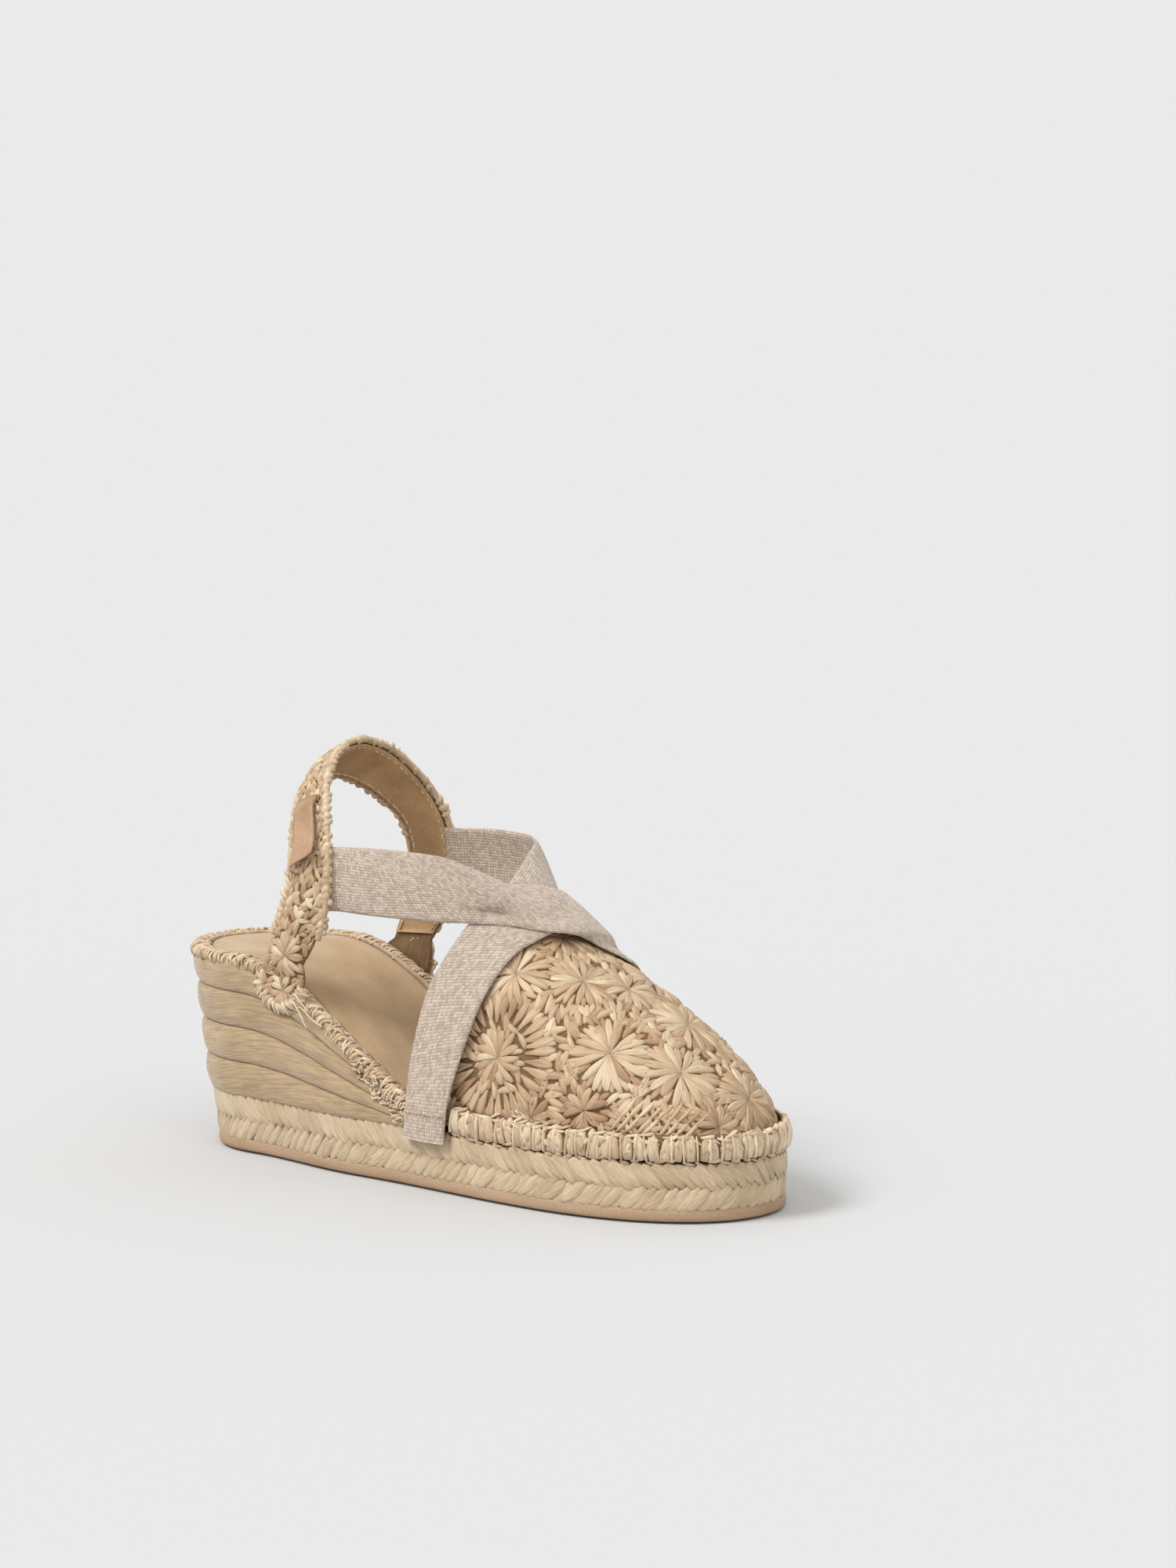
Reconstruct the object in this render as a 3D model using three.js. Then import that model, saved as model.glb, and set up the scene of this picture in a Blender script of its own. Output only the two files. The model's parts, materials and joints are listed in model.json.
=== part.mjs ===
import * as THREE from 'three';
import { mergeVertices } from 'three/addons/utils/BufferGeometryUtils.js';

// Wedge sandal with a braided jute sole, a raffia toe, two crossed elastics and a heel sling: the right shoe.
// Millimetres. While it is modelled, x runs from the heel (0) to the toe, +y is the inner side of the foot
// and z is up from the floor. The last lines move the origin to the middle of the footprint.

// ---- Driving dimensions ----
const GAP = 0.3; // between pieces that touch
const TREAD = {
  heelX: 5, toeX: 249, toeY: 3.2, heelCentreX: 36, heelHalf: 29, waistX: 95, waistOuter: 35.5, waistInner: 29,
  ballOuterX: 179, ballOuter: 40.3, ballInnerX: 185, ballInner: 43.2,
};
const FLARE = { heel: 11, toe: 1, heelHalf: 4.5, waistOuter: 1, waistInner: 2, ball: 1 }; // rim beyond tread
const OUTSOLE_THICKNESS = 5.5;
const BRAID_HEIGHT = 15.5;
const BRAID_DEPTH = 9; // of the base braid, in from the wall
const ROPE_DEPTH = 5.5; // of the wedge's rope courses
const ROPE_BULGE = 0.4;
const ROPE_COURSES = 4;
const ROPE_END_X = 134; // where the fanned courses run out at the arch
const WEDGE_CORE_ROOM = 8; // the wedge core stops this far short of the courses
const HEEL_HEIGHT = 73; // floor to rim at the heel
const TOE_RIM = 0.8; // rim above the base braid at the forefoot
const RAMP = { heelX: 33.5, ballX: 150.6 };
const BOARD_THICKNESS = 1.5;
const FOAM_THICKNESS = 2.2;
const FOOTBED_THICKNESS = 1.2;
const FOOTBED_INSET = 7.6;
const FOOTBED_TOE_ROOM = 4; // from the footbed's tip to the lining, beyond the inset
const RIM_STITCH = { width: 4.6, height: 1.7, inset: 0.4, throatRoom: 3 };
const VAMP = {
  height: 71, backX: 150, throatFootX: 135, throatTopX: 158,
  inset: 2.7, wall: 1.9, lining: 0.8, liningBack: 0.6,
};
// Powers that round the vamp, and the slope of its throat.
const VAMP_CURVE = { ridge: 0.6, instep: 0.3, lift: 0.83, spread: 0.78, rows: 0.9 };
const VAMP_BAND = { height: 9, thickness: 2.1, bulge: 0.25, bulgeAt: 0.45, footRoom: 1 };
const ELASTIC_THICKNESS = 1.5;
const ELASTIC_LIFT = 0.5; // clear air under an elastic
const SLING = {
  hingeX: 59.5, hingeRise: 3.5, width: 24, raffia: 1.4, lining: 0.7, wallClearance: 0.5, liningStart: 12, crown: 1.6,
};
const EDGING = { radius: 1.4, start: 4 }; // the band has made room for it this far above the hinge
const TAB = { length: 24, width: 12, thickness: 1.2, along: 0.235, lift: 0.5 };
const ELASTIC_FOOT = { backX: 120, frontX: 140.5 };
const THREAD = 1.1;

// ---- Levels that follow from them ----
const BASE_Z = OUTSOLE_THICKNESS;
const BASE_TOP = BASE_Z + BRAID_HEIGHT;
const STACK = BOARD_THICKNESS + FOAM_THICKNESS + FOOTBED_THICKNESS + 2 * GAP;
const HALF_POINTS = 28;

// ---- Solids from rows of points ----
const v3 = (x, y, z) => new THREE.Vector3(x, y, z);
const mix = THREE.MathUtils.lerp;
const steps = (count) => Array.from({ length: count + 1 }, (_, i) => i / count);

function signedVolume(position, index) {
  const [a, b, c] = [v3(), v3(), v3()];
  let volume = 0;
  for (let i = 0; i < index.length; i += 3) {
    a.fromBufferAttribute(position, index[i]);
    b.fromBufferAttribute(position, index[i + 1]);
    c.fromBufferAttribute(position, index[i + 2]);
    volume += a.dot(b.cross(c)) / 6;
  }
  return volume;
}

// Welds the points, drops triangles that collapse at a tip and turns the faces outwards.
function closedGeometry(points, triangles) {
  const loose = new THREE.BufferGeometry();
  loose.setAttribute('position', new THREE.Float32BufferAttribute(points.flatMap((p) => p.toArray()), 3));
  loose.setIndex(triangles.flat());
  const welded = mergeVertices(loose, 1e-3);
  const all = Array.from(welded.index.array);
  const kept = [];
  for (let i = 0; i < all.length; i += 3) {
    const [a, b, c] = all.slice(i, i + 3);
    if (a !== b && b !== c && c !== a) kept.push(a, b, c);
  }
  if (signedVolume(welded.attributes.position, kept) < 0) kept.reverse();
  welded.setIndex(kept);
  return welded;
}

// Joins closed sections of equal count into a body; it closes on itself or has flat ends.
function loft(sections, closed = false) {
  const count = sections[0].length;
  const rows = sections.length;
  const triangles = [];
  for (let r = 0; r < rows - (closed ? 0 : 1); r += 1) {
    for (let k = 0; k < count; k += 1) {
      const [a, b] = [r * count + k, r * count + ((k + 1) % count)];
      const [c, d] = [((r + 1) % rows) * count + k, ((r + 1) % rows) * count + ((k + 1) % count)];
      triangles.push([a, b, d], [a, d, c]);
    }
  }
  if (!closed) {
    const last = (rows - 1) * count;
    for (let k = 1; k < count - 1; k += 1) triangles.push([0, k + 1, k], [last, last + k, last + k + 1]);
  }
  return closedGeometry(sections.flat(), triangles);
}

// A sheet between two grids of points that match row by row.
function shell(outer, inner) {
  const sections = outer.map((row, r) => [...row, ...inner[r].slice().reverse()]);
  const count = sections[0].length;
  const width = outer[0].length;
  const triangles = [];
  for (let r = 0; r < sections.length - 1; r += 1) {
    for (let k = 0; k < count; k += 1) {
      const [a, b] = [r * count + k, r * count + ((k + 1) % count)];
      triangles.push([a, b, b + count], [a, b + count, a + count]);
    }
  }
  for (const [row, flip] of [[0, false], [sections.length - 1, true]]) {
    for (let k = 0; k < width - 1; k += 1) {
      const [a, b] = [row * count + k, row * count + k + 1];
      const [c, d] = [row * count + count - 1 - k, row * count + count - 2 - k];
      if (flip) triangles.push([a, b, d], [a, d, c]);
      else triangles.push([b, a, d], [d, a, c]);
    }
  }
  return closedGeometry(sections.flat(), triangles);
}

function gridNormals(grid) {
  const at = (r, k) => grid[THREE.MathUtils.clamp(r, 0, grid.length - 1)][
    THREE.MathUtils.clamp(k, 0, grid[0].length - 1)];
  return grid.map((row, r) => row.map((_, k) => {
    const along = at(r + 1, k).clone().sub(at(r - 1, k));
    const across = at(r, k + 1).clone().sub(at(r, k - 1));
    return along.cross(across).normalize();
  }));
}

function offsetGrid(grid, normals, distance) {
  return grid.map((row, r) => row.map((p, k) => p.clone().addScaledVector(normals[r][k], distance)));
}

// Moves each point out until it is clear of a surface given by points and their outward normals.
function clearOf(grid, surface, clearance, reach = 14) {
  for (const p of grid.flat()) {
    let nearest = null;
    let best = reach;
    for (const s of surface) {
      const distance = p.distanceTo(s.point);
      if (distance < best) [best, nearest] = [distance, s];
    }
    if (!nearest) continue;
    const height = p.clone().sub(nearest.point).dot(nearest.normal);
    if (height < clearance) p.addScaledVector(nearest.normal, clearance - height);
  }
}

const surfacePoints = (grid, normals) =>
  grid.flatMap((row, r) => row.map((point, k) => ({ point, normal: normals[r][k] })));

// ---- Sole outlines ----
const RIM = {
  ...TREAD,
  heelX: TREAD.heelX - FLARE.heel, toeX: TREAD.toeX + FLARE.toe, heelHalf: TREAD.heelHalf + FLARE.heelHalf,
  waistOuter: TREAD.waistOuter + FLARE.waistOuter, waistInner: TREAD.waistInner + FLARE.waistInner,
  ballOuter: TREAD.ballOuter + FLARE.ball, ballInner: TREAD.ballInner + FLARE.ball,
};

// One side of the outline from heel to toe: four curves through heel, heel side, waist, ball and toe.
function outlineSide(spec, outer) {
  const sign = outer ? -1 : 1;
  const waist = sign * (outer ? spec.waistOuter : spec.waistInner);
  const ball = sign * (outer ? spec.ballOuter : spec.ballInner);
  const ballX = outer ? spec.ballOuterX : spec.ballInnerX;
  const [round, sides, toe] = [0.5523, 0.38, 0.6];
  const anchors = [
    [spec.heelX, 0], [spec.heelCentreX, sign * spec.heelHalf], [spec.waistX, waist], [ballX, ball],
    [spec.toeX, spec.toeY],
  ];
  const pull = [round, sides, sides, toe];
  const points = [];
  for (let i = 0; i < 4; i += 1) {
    const [[x0, y0], [x1, y1]] = [anchors[i], anchors[i + 1]];
    const start = i === 0 ? [x0, y0 + pull[i] * (y1 - y0)] : [x0 + pull[i] * (x1 - x0), y0];
    const end = i === 3 ? [x1, y1 + pull[i] * (y0 - y1)] : [x1 - pull[i] * (x1 - x0), y1];
    const curve = new THREE.CubicBezierCurve(
      new THREE.Vector2(x0, y0), new THREE.Vector2(...start), new THREE.Vector2(...end),
      new THREE.Vector2(x1, y1));
    points.push(...curve.getPoints(HALF_POINTS / 4).slice(i === 0 ? 0 : 1));
  }
  return points;
}

// The closed loop: outer side from heel to toe, then the inner side back to the heel.
function outlineLoop(spec) {
  return [...outlineSide(spec, true), ...outlineSide(spec, false).reverse().slice(1, -1)];
}

function insetLoop(loop, distance) {
  const count = loop.length;
  return loop.map((p, i) => {
    const along = loop[(i + 1) % count].clone().sub(loop[(i + count - 1) % count]).normalize();
    return new THREE.Vector2(p.x - along.y * distance, p.y + along.x * distance);
  });
}

const treadLoop = outlineLoop(TREAD);
const rimLoop = outlineLoop(RIM);
const wallLoop = (share) => treadLoop.map((p, i) => p.clone().lerp(rimLoop[i], share));
const GROOVE_SHARE = 0.25; // of the flare that is reached at the top of the base braid
const grooveLoop = wallLoop(GROOVE_SHARE);

// Outer and inner points of a loop at the same station, heel first.
function pairs(loop) {
  return steps(HALF_POINTS).map((_, i) => [loop[i], loop[(loop.length - i) % loop.length]]);
}

function sideY(loop, x, outer) {
  const side = pairs(loop).map(([a, b]) => (outer ? a : b));
  const i = THREE.MathUtils.clamp(side.findIndex((p) => p.x > x), 1, side.length - 1);
  return mix(side[i - 1].y, side[i].y, (x - side[i - 1].x) / (side[i].x - side[i - 1].x));
}

function ramp(x) {
  const t = THREE.MathUtils.clamp((RAMP.ballX - x) / (RAMP.ballX - RAMP.heelX), 0, 1);
  return t * t * (3 - 2 * t);
}

const rimZ = (x) => BASE_TOP + TOE_RIM + (HEEL_HEIGHT - BASE_TOP - TOE_RIM) * ramp(x);

// Underside of the insole board: a stack's height below the rim, but never into the base.
function boardZ(x) {
  const above = rimZ(x) - STACK - BASE_TOP - GAP;
  const ease = 3;
  return BASE_TOP + GAP + (above + Math.hypot(above, ease)) / 2;
}

// ---- Sole ----
function makeOutsole() {
  const shape = new THREE.Shape(treadLoop);
  return new THREE.ExtrudeGeometry(shape, { depth: OUTSOLE_THICKNESS - GAP, bevelEnabled: false });
}

function makeBaseBraid() {
  const inner = insetLoop(treadLoop, BRAID_DEPTH);
  const bulge = insetLoop(wallLoop(GROOVE_SHARE / 2), -ROPE_BULGE);
  const top = BASE_TOP - GAP;
  return loft(treadLoop.map((p, i) => [
    v3(p.x, p.y, BASE_Z), v3(bulge[i].x, bulge[i].y, mix(BASE_Z, top, 0.3)),
    v3(bulge[i].x, bulge[i].y, mix(BASE_Z, top, 0.7)), v3(grooveLoop[i].x, grooveLoop[i].y, top),
    v3(inner[i].x, inner[i].y, top), v3(inner[i].x, inner[i].y, BASE_Z),
  ]), true);
}

function makeBaseCore() {
  const shape = new THREE.Shape(insetLoop(treadLoop, BRAID_DEPTH + GAP));
  const core = new THREE.ExtrudeGeometry(shape, { depth: BRAID_HEIGHT - GAP, bevelEnabled: false });
  return core.translate(0, 0, BASE_Z);
}

// A slab from side to side, between two heights that depend on x; it may flare from one loop to another.
function slab(lowLoop, highLoop, bottom, top, endX = Infinity) {
  const high = pairs(highLoop);
  const stations = pairs(lowLoop).map((low, i) => [...low, ...high[i]]);
  return loft(stations.filter(([a, b]) => Math.max(a.x, b.x) < endX).map(([a, b, c, d]) => [
    v3(a.x, a.y, bottom(a.x)), v3(b.x, b.y, bottom(b.x)), v3(d.x, d.y, top(d.x)), v3(c.x, c.y, top(c.x)),
  ]));
}

// Share of the flare that the wall has reached at a height, at the station with this rim point.
const flareShare = (x, z) => GROOVE_SHARE + ((1 - GROOVE_SHARE) * (z - BASE_TOP)) / (rimZ(x) - BASE_TOP);

function makeWedgeCore() {
  const top = (x) => boardZ(x) - GAP;
  const topLoop = treadLoop.map((p, i) => p.clone().lerp(rimLoop[i],
    Math.min(1, flareShare(rimLoop[i].x, top(rimLoop[i].x)))));
  const [low, high] = [grooveLoop, topLoop].map((loop) => insetLoop(loop, ROPE_DEPTH + GAP));
  return slab(low, high, () => BASE_TOP, top, ROPE_END_X - WEDGE_CORE_ROOM);
}

// A point of a loop at a station that need not be whole.
function at(loop, station) {
  const whole = Math.floor(station);
  return loop[whole % loop.length].clone().lerp(loop[(whole + 1) % loop.length], station - whole);
}

// Stations where the rim passes an x: on the outer side going to the toe, on the inner side coming back.
function crossings(x) {
  const between = (i) => i + (x - rimLoop[i].x) / (rimLoop[(i + 1) % rimLoop.length].x - rimLoop[i].x);
  const out = rimLoop.findIndex((p) => p.x > x) - 1;
  const back = rimLoop.findLastIndex((p) => p.x > x);
  return [between(out), between(back)];
}

const TINY = 1e-6; // keeps a station that is already whole from being taken twice

// Stations round the heel, from an x on the inner side to the same x on the outer side.
function roundHeel(endX) {
  const [out, back] = crossings(endX);
  const count = rimLoop.length;
  const whole = Array.from({ length: count }, (_, i) => Math.ceil(back + TINY) + i)
    .filter((i) => i < out + count);
  return [back, ...whole, out + count];
}

// Stations round the toe, from an x on the outer side to the same x on the inner side.
function roundToe(startX) {
  const [out, back] = crossings(startX);
  return [out, ...rimLoop.keys().filter((i) => i > out && i < back), back];
}

function makeRopeCourse(level) {
  const [low, high] = [level / ROPE_COURSES, (level + 1) / ROPE_COURSES];
  const share = (v) => GROOVE_SHARE + (1 - GROOVE_SHARE) * v;
  const [lowLoop, highLoop] = [wallLoop(share(low)), wallLoop(share(high))];
  const midLoop = insetLoop(wallLoop(share((low + high) / 2)), -ROPE_BULGE);
  const [lowInner, highInner] = [insetLoop(lowLoop, ROPE_DEPTH), insetLoop(highLoop, ROPE_DEPTH)];
  const height = (v, x) => mix(BASE_TOP, rimZ(x), v);
  return loft(roundHeel(ROPE_END_X).map((i) => {
    const x = at(rimLoop, i).x;
    const [bottom, top] = [height(low, x), height(high, x) - GAP];
    const [middle, from, to] = [at(midLoop, i), at(lowLoop, i), at(highLoop, i)];
    const [fromInner, toInner] = [at(lowInner, i), at(highInner, i)];
    return [
      v3(from.x, from.y, bottom), v3(middle.x, middle.y, mix(bottom, top, 0.3)),
      v3(middle.x, middle.y, mix(bottom, top, 0.7)), v3(to.x, to.y, top),
      v3(toInner.x, toInner.y, top), v3(fromInner.x, fromInner.y, bottom),
    ];
  }));
}

// ---- Footbed ----
function footbedLayer(offset, thickness) {
  const loop = insetLoop(outlineLoop({ ...RIM, toeX: RIM.toeX - FOOTBED_TOE_ROOM }), FOOTBED_INSET);
  return slab(loop, loop, (x) => boardZ(x) + offset, (x) => boardZ(x) + offset + thickness);
}

const FOAM_OFFSET = BOARD_THICKNESS + GAP;
const FOOTBED_OFFSET = FOAM_OFFSET + FOAM_THICKNESS + GAP;

function makeRimStitching() {
  const outer = insetLoop(rimLoop, RIM_STITCH.inset);
  const inner = insetLoop(rimLoop, RIM_STITCH.inset + RIM_STITCH.width);
  return loft(roundHeel(VAMP.throatFootX - RIM_STITCH.throatRoom).map((i) => {
    const z = rimZ(at(rimLoop, i).x);
    const crown = z + RIM_STITCH.height;
    const [o, n] = [at(outer, i), at(inner, i)];
    return [
      v3(o.x, o.y, z), v3(mix(o.x, n.x, 0.2), mix(o.y, n.y, 0.2), crown),
      v3(mix(o.x, n.x, 0.8), mix(o.y, n.y, 0.8), crown), v3(n.x, n.y, z),
    ];
  }));
}

// ---- Vamp ----
const VAMP_ROWS = 18;
const VAMP_ACROSS = 16;

// Height of the ridge above the vamp's foot: nearly straight down the instep, blunt at the toe.
function ridgeHeight(x, toeX) {
  const t = THREE.MathUtils.clamp((x - VAMP.backX) / (toeX - VAMP.backX), 0, 1);
  return (VAMP.height + VAMP_CURVE.instep * Math.max(0, VAMP.backX - x)) * (1 - t) ** VAMP_CURVE.ridge;
}

// A skin of the vamp: its foot lies `inset` inside the rim and its crown `drop` below the outer one.
function vampGrid(inset, drop, edgeShift) {
  const loop = insetLoop(rimLoop, inset);
  const toeX = loop[HALF_POINTS].x;
  return steps(VAMP_ROWS).map((u) => steps(VAMP_ACROSS).map((share) => {
    const angle = Math.PI * share;
    const lift = Math.sin(angle) ** VAMP_CURVE.lift;
    const edge = mix(VAMP.throatFootX, VAMP.throatTopX, lift) + edgeShift;
    const x = mix(edge, toeX, Math.sin((u * Math.PI) / 2) ** VAMP_CURVE.rows);
    const [outer, inner] = u === 1 ? [loop[HALF_POINTS].y, loop[HALF_POINTS].y]
      : [sideY(loop, x, true), sideY(loop, x, false)];
    const spread = Math.sign(Math.cos(angle)) * Math.abs(Math.cos(angle)) ** VAMP_CURVE.spread;
    const z = rimZ(x) + GAP + Math.max(0, ridgeHeight(x, toeX) - drop * lift) * lift;
    return v3(x, (outer + inner) / 2 + (spread * (outer - inner)) / 2, z);
  }));
}

const vampOuter = vampGrid(VAMP.inset, 0, 0);
const makeVamp = () => shell(vampOuter, vampGrid(VAMP.inset + VAMP.wall, VAMP.wall, 0));

function makeVampLining() {
  const start = VAMP.inset + VAMP.wall + GAP;
  const drop = VAMP.wall + GAP;
  const back = VAMP.liningBack;
  return shell(vampGrid(start, drop, back), vampGrid(start + VAMP.lining, drop + VAMP.lining, back));
}

function makeVampBand() {
  const foot = insetLoop(rimLoop, VAMP.inset - GAP - VAMP_BAND.thickness);
  const back = insetLoop(rimLoop, VAMP.inset - GAP);
  return loft(roundToe(ELASTIC_FOOT.frontX + VAMP_BAND.footRoom).map((i) => {
    const low = rimZ(at(rimLoop, i).x) + GAP;
    const high = low + VAMP_BAND.height;
    const [f, b] = [at(foot, i), at(back, i)];
    const outward = f.clone().sub(b).normalize().multiplyScalar(VAMP_BAND.thickness * VAMP_BAND.bulge);
    return [
      v3(f.x, f.y, low), v3(f.x + outward.x, f.y + outward.y, mix(low, high, VAMP_BAND.bulgeAt)),
      v3(f.x - outward.x, f.y - outward.y, high), v3(b.x, b.y, high), v3(b.x, b.y, low),
    ];
  }));
}

// ---- Heel sling ----
const HINGE_Z = rimZ(SLING.hingeX) + SLING.hingeRise;
const EDGING_REACH = 2 * EDGING.radius + GAP;
const SLING_ROWS = 40;
const SLING_ACROSS = 4;
const END_ROWS = 5;
const END_TIP = 0.12; // share of the quarter turn that the blunt tip leaves out

// Front and back edge of the band above its hinge, as [x, half y, z] from the hinge; the last is the top.
const SLING_EDGES = [
  { front: [20.3, 36.6, 15.5], back: [-6, 35.6, 15.3] },
  { front: [23.2, 35.7, 29.5], back: [-1.2, 34.6, 27.5] },
  { front: [23.3, 35.2, 41.5], back: [-0.2, 33.2, 38.5] },
  { front: [21.6, 33.6, 51.5], back: [-2, 29.6, 49.4] },
  { front: [17.6, 29.7, 62.3], back: [-5.6, 24.6, 55.4] },
  { front: [13.1, 24, 71.2], back: [-9, 18.6, 60.6] },
  { front: [9.6, 16.6, 78.2], back: [-12, 12, 64] },
  { front: [7.7, 8.4, 82], back: [-14.2, 6, 66] },
  { front: [7.3, 0, 83.3], back: [-15, 0, 66.5] },
];

const slingFaceY = (x, outer) => sideY(rimLoop, x, outer)
  + (outer ? -1 : 1) * (ROPE_BULGE + SLING.wallClearance + SLING.raffia);

function slingEdge(key) {
  const reach = (key === 'front' ? 1 : -1) * (SLING.width / 2);
  const root = (outer) => v3(SLING.hingeX + reach, slingFaceY(SLING.hingeX + reach, outer), HINGE_Z);
  const side = (sign) => SLING_EDGES.map((s) =>
    v3(SLING.hingeX + s[key][0], sign * s[key][1], HINGE_Z + s[key][2]));
  const points = [root(true), ...side(-1), ...side(1).reverse().slice(1), root(false)];
  return new THREE.CatmullRomCurve3(points, false, 'centripetal');
}

const slingCurves = { front: slingEdge('front'), back: slingEdge('back') };

// One row of the band from front to back: inside its edgings and crowned outwards, above the hinge.
function bandRow(u) {
  const [front, back] = [slingCurves.front.getPoint(u), slingCurves.back.getPoint(u)];
  const risen = THREE.MathUtils.smoothstep(back.z, HINGE_Z, HINGE_Z + EDGING.start);
  const across = back.clone().sub(front).normalize();
  front.addScaledVector(across, EDGING_REACH * risen);
  back.addScaledVector(across, -EDGING_REACH * risen);
  const outward = slingCurves.front.getTangent(u).add(slingCurves.back.getTangent(u)).cross(across).normalize();
  return steps(SLING_ACROSS).map((v) =>
    front.clone().lerp(back, v).addScaledVector(outward, SLING.crown * risen * 4 * v * (1 - v)));
}

// The round end of the band, flat against the wall below the hinge.
function slingEnd(outer) {
  return steps(END_ROWS).slice(0, -1).map((s) => {
    const angle = (mix(END_TIP, 1, s) * Math.PI) / 2;
    const half = (SLING.width / 2) * Math.sin(angle);
    const z = HINGE_Z - (SLING.width / 2) * Math.cos(angle);
    return steps(SLING_ACROSS).map((v) => {
      const x = SLING.hingeX + mix(half, -half, v);
      return v3(x, slingFaceY(x, outer), z);
    });
  });
}

const slingGrid = [...slingEnd(true), ...steps(SLING_ROWS).map(bandRow), ...slingEnd(false).reverse()];
const slingNormals = gridNormals(slingGrid);

const makeSlingRaffia = () => shell(slingGrid, offsetGrid(slingGrid, slingNormals, -SLING.raffia));

// Share of the band's length at which it is a given height above the hinge.
function shareAtHeight(height) {
  return steps(400).find((u) => slingCurves.back.getPoint(u).z > HINGE_Z + height);
}

function makeSlingLining() {
  const start = shareAtHeight(SLING.liningStart);
  const grid = steps(SLING_ROWS).map((u) => bandRow(mix(start, 1 - start, u)));
  const normals = gridNormals(grid);
  const depth = SLING.raffia + GAP;
  return shell(offsetGrid(grid, normals, -depth), offsetGrid(grid, normals, -depth - SLING.lining));
}

function circleSection(centre, sideways, upwards, radius, count = 8) {
  return Array.from({ length: count }, (_, k) => {
    const angle = (2 * Math.PI * k) / count;
    return centre.clone().addScaledVector(sideways, radius * Math.cos(angle))
      .addScaledVector(upwards, radius * Math.sin(angle));
  });
}

// Crochet edging: a round bead along one edge of the band.
function makeSlingEdging(front) {
  const start = shareAtHeight(EDGING.start + 2 * EDGING.radius);
  return loft(steps(SLING_ROWS + 8).map((s) => {
    const u = mix(start, 1 - start, s);
    const row = bandRow(u);
    const [edge, far] = front ? [row[0], row[SLING_ACROSS]] : [row[SLING_ACROSS], row[0]];
    const outward = edge.clone().sub(far).normalize();
    const curve = front ? slingCurves.front : slingCurves.back;
    const face = curve.getTangent(u).cross(outward).normalize();
    if (!front) face.negate();
    const centre = edge.clone().addScaledVector(outward, EDGING.radius + GAP)
      .addScaledVector(face, SLING.raffia / 2);
    return circleSection(centre, outward, face, EDGING.radius);
  }));
}

// Small blank leather tab laid on the outer face of the band, along its length.
function makeLeatherTab() {
  const rows = steps(6).map((s) => {
    const row = bandRow(TAB.along + (s - 0.5) * (TAB.length / slingCurves.front.getLength()));
    const middle = row[SLING_ACROSS / 2];
    const across = row[0].clone().sub(row[SLING_ACROSS]).normalize();
    return [-1, 0, 1].map((side) => middle.clone().addScaledVector(across, -side * TAB.width / 2));
  });
  const normals = gridNormals(rows);
  return shell(offsetGrid(rows, normals, TAB.lift + TAB.thickness), offsetGrid(rows, normals, TAB.lift));
}

// Whip stitches that hold the sling's round end to the wall: an arc of thread round it.
function makeAnchorStitching(outer) {
  const radius = SLING.width / 2 + GAP + THREAD;
  const sign = outer ? -1 : 1;
  return loft(steps(12).map((s) => {
    const angle = mix(-0.86, -0.14, s) * Math.PI;
    const [x, z] = [SLING.hingeX + radius * Math.cos(angle), HINGE_Z + radius * Math.sin(angle)];
    const y = slingFaceY(x, outer) - sign * (SLING.raffia - THREAD);
    return circleSection(v3(x, y, z), v3(Math.cos(angle), 0, Math.sin(angle)), v3(0, 1, 0), THREAD, 6);
  }));
}

// ---- Crossed elastics ----
const ELASTIC_ROWS = 40;
const ELASTIC_ACROSS = 4;
const ELASTIC_CROWN = 1.2;
const FOOT_DROP = 2.5;
const FOOT_Z = BASE_TOP - FOOT_DROP; // folded end of a foot, just below the base braid's top
const CUFF_Y = 30; // half width inside the sling, where the ends are sewn

// Where a foot lies on the wall, outer face; `low` is at its folded end.
const footPoint = (x, outer, z) => v3(
  x, sideY(rimLoop, x, outer) + (outer ? -1 : 1) * (ELASTIC_LIFT + ELASTIC_THICKNESS + VAMP_BAND.thickness / 3), z);

// Heights of an elastic's edge: over the instep they follow the toe's height, at the ankle the sling's hinge.
const instepZ = (z) => BASE_TOP + TOE_RIM + VAMP.height + z;
const ankleZ = (z) => HINGE_Z + z;

// The elastic that lies against the toe: from the outer side of the sole to the inner side of the sling.
const UNDER_EDGES = {
  back: [
    footPoint(ELASTIC_FOOT.backX, true, FOOT_Z), footPoint(ELASTIC_FOOT.backX + 1.5, true, 32),
    v3(122.5, -38.8, 46), v3(127, -35, instepZ(-22.8)), v3(133.5, -31, instepZ(-8.3)),
    v3(138.5, -24, instepZ(2.7)), v3(141.5, -10, instepZ(12.2)), v3(138.5, 2, instepZ(17.7)),
    v3(134.5, 13, instepZ(22.2)), v3(129, 24, instepZ(25.9)), v3(111, 32, ankleZ(48.8)),
    v3(94, 33, ankleZ(48.3)), v3(83, 31.3, ankleZ(47.5)), v3(73, CUFF_Y, ankleZ(47)),
  ],
  front: [
    footPoint(ELASTIC_FOOT.frontX, true, FOOT_Z), footPoint(ELASTIC_FOOT.frontX + 2, true, 33),
    v3(147, -39, 52), v3(152.5, -32.5, instepZ(-20.3)), v3(157, -21.5, instepZ(-7.3)),
    v3(161, -9, instepZ(-1.8)), v3(160, 1, instepZ(-0.3)), v3(155.5, 10.5, instepZ(0.9)),
    v3(147.5, 19, instepZ(1.7)), v3(136, 27.5, instepZ(2.1)), v3(117, 33, ankleZ(24.6)),
    v3(96, 33.6, ankleZ(24.4)), v3(83, 31.6, ankleZ(24.1)), v3(73, CUFF_Y, ankleZ(24)),
  ],
};

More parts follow.
